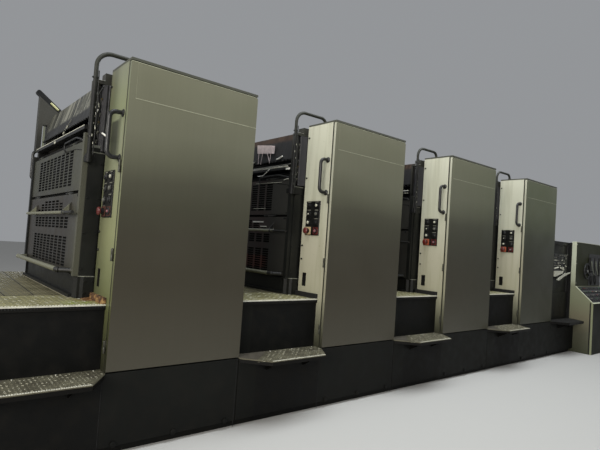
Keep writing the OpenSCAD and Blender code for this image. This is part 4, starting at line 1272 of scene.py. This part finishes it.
console = Work("console_dressing")
rims = (
    ((5401, 2), (5426, 270)),
    ((CONSOLE_RIGHT - 14, 4), (CONSOLE_RIGHT - 2, 270)),
    ((5402, 258), (CONSOLE_RIGHT - 2, 272)),
)
for low, high in rims:
    outline = desk_patch(low[0], high[0], low[1], high[1], 0)
    console.sheet("desk_rim", outline, lift * 3)
chance = random.Random(12)
DESK_KEYS = ("black_plastic", "grey_key", "grey_key", "dull_label", "white_key", "black_plastic",
             "grey_key", "red_key", "green_key")
for row in range(4):
    for column in range(18):
        x, down = 5440 + 40 * column, 48 + 52 * row
        if chance.random() < 0.35:
            continue
        finish = chance.choice(DESK_KEYS)
        wide, long = 7, 5
        outline = desk_patch(x - wide, x + wide, down - long, down + long, 8)
        console.sheet(finish, outline, lift * 6.5)
console.block("joint_shadow", (CONSOLE_RIGHT - 312, -204.4, -372), (CONSOLE_RIGHT - 309, -203, 198))
for x in (CONSOLE_RIGHT - 350, CONSOLE_RIGHT - 280):
    console.block("joint_shadow", (x, -204.4, -110), (x + 8, -203, 10))
for x in (5412, CONSOLE_RIGHT - 12):
    for z in (430, 660, 890):
        console.screw("zinc_screw", (x, -2, z), TO_FRONT, 5)
console.block("console_plate", (5790, -6, 400), (CONSOLE_RIGHT - 16, -1, 790))
for middle, reach in ((5826, 54), (5966, 54), (6110, 50)):
    console.block("console_plate", (middle - reach, -34, 520), (middle + reach, -5, 745))
# Painted reflections: dull grey streaks on the instruments' glass.
for top, foot in (((5788, 700), (5884, 539)), ((5928, 707), (6006, 541)), ((6070, 700), (6140, 560))):
    lean = (top[0] * 0.75 + foot[0] * 0.25 - 4, -36, top[1] * 0.5 + foot[1] * 0.5)
    console.pipe("grey_glint", [(top[0], -36, top[1]), lean, (foot[0], -36, foot[1])], 5, bend=50)
for middle in (5850, 5990):
    console.pipe("hose_rubber", [(middle, -14, 524), (middle + 4, -20, 470), (middle + 26, -12, 420),
                                 (middle + 26, -2, 408)], 8, bend=30)
console.turned("black_plastic", (5660, -2, 575), TO_FRONT, [(0, 30), (10, 30), (14, 24), (34, 22)])
console.turned("bright_steel", (5660, -40, 575), TO_FRONT, [(0, 12), (5, 12), (7, 8)], sides=6)
console.turned("black_plastic", (5722, -40, 575), TO_FRONT, [(0, 9), (6, 11), (30, 13), (36, 8)])
console.block("label", (5402, -3, 915), (CONSOLE_RIGHT - 2, -1.6, 920.5))
console.block("joint_shadow", (5399.3, -178, -372), (5401, -168, 214))
console.done()

# %% [markdown]
# The delivery body behind the console is hidden in the photograph. It gets the joints and screws
# of its cover sheets and a row of louvres, no more.

# %% Delivery body
body = Work("delivery_body_trim")
end = CONSOLE_RIGHT
for y in (500, 950, 1400):
    body.block("joint_shadow", (5401, y, 904.5), (end - 1, y + 3, 905.6))
    body.block("joint_shadow", (end - 0.6, y, -370), (end + 0.5, y + 3, 900))
for k in range(10):
    z = 480 + 30 * k
    body.block("joint_shadow", (end - 0.6, 1020, z), (end + 0.6, 1330, z + 9))
    body.block("joint_shadow", (end - 0.6, 120, z), (end + 0.6, 430, z + 9))
for y in (70, 480, 520, 930, 970, 1380, 1420, 1830):
    for z in (-340, 260, 870):
        body.turned("black_screw", (end - 1, y, z), (1, 0, 0), [(0, 6), (1.5, 6), (1.6, 3)])
for x in (5440, 5790, end - 45):
    for y in (80, 940, 1820):
        body.screw("black_screw", (x, y, 905), TO_TOP, 6)
body.done()

# %% [markdown]
# ## Broken edges
# Sheet and castings have no razor edges. The boxy CAD pieces get a bevel of a millimetre or two
# that catches the light. Their meshes come in split along edges, so a weld joins them first.

# %% Bevels
SOFT_EDGES = {
    "front_housing": 2.0, "rear_cover": 2.0, "front_door": 1.5, "frame": 1.5, "base": 3.0,
    "risers": 2.0, "console_cabinet": 2.0, "console_upright": 2.0, "delivery_frame": 2.0,
    "delivery_body": 3.0, "key_panel": 1.0, "landing_plates": 1.0,
}
for name, piece in NODES.items():
    plain = name.split("_", 2)[2] if name.startswith("unit_") else name
    if plain not in SOFT_EDGES:
        continue
    weld = piece.modifiers.new("weld", "WELD")
    weld.merge_threshold = 0.00002
    bevel = piece.modifiers.new("bevel", "BEVEL")
    bevel.width = SOFT_EDGES[plain] * MM
    bevel.segments = 2
    bevel.limit_method = "ANGLE"
    bevel.angle_limit = math.radians(40)
    bevel.use_clamp_overlap = True
    bevel.harden_normals = False
print("bevelled pieces:", sum(1 for piece in NODES.values() if piece.modifiers))

# %% [markdown]
# ## The studio
# A pale matt floor, a grey sky and four large soft lamps give a plain, even light. One lamp is a
# strip above the aisle, as in the press hall, one fills in from the camera's side, and two light
# the back and the left end, so that every side can be judged.

# %% Floor, sky and lamps
floor_mesh = bpy.data.meshes.new("studio_floor")
floor_mesh.from_pydata([(-30, -30, 0), (30, -30, 0), (30, 30, 0), (-30, 30, 0)], [], [(0, 1, 2, 3)])
floor = bpy.data.objects.new("studio_floor", floor_mesh)
bpy.context.scene.collection.objects.link(floor)
start_finish("studio_floor", "#b9b8b4", 0.9)
floor_mesh.materials.append(finishes["studio_floor"][0])

world = bpy.data.worlds.new("studio")
bpy.context.scene.world = world
world.use_nodes = True
sky = world.node_tree.nodes["Background"]
sky.inputs["Color"].default_value = linear("#c9ccd0")
sky.inputs["Strength"].default_value = 0.5
bpy.context.scene.view_settings.view_transform = "Standard"

for name, place, aim, size, watts, colour in (
    ("ceiling_strip", (0, -1.5, 4.6), (0, 0, 0.8), (7.5, 2.2), 260, "#f6fbff"),
    ("aisle_fill", (-7.5, -5.0, 2.7), (0.3, -0.8, 1.0), (4.0, 2.6), 400, "#fffaf2"),
    ("rear_fill", (2.0, 6.5, 3.6), (0, 0, 1.0), (6.0, 2.5), 230, "#f4f8ff"),
    ("end_fill", (-7.0, 1.5, 2.8), (-1.5, 0.2, 0.9), (3.0, 2.6), 60, "#fffdf6"),
):
    lamp = bpy.data.lights.new(name, "AREA")
    lamp.shape = "RECTANGLE"
    lamp.size, lamp.size_y = size
    lamp.energy = watts
    lamp.color = linear(colour)[:3]
    holder = bpy.data.objects.new(name, lamp)
    bpy.context.scene.collection.objects.link(holder)
    holder.location = place
    holder.rotation_euler = (Vector(aim) - Vector(place)).to_track_quat("-Z", "Y").to_euler()
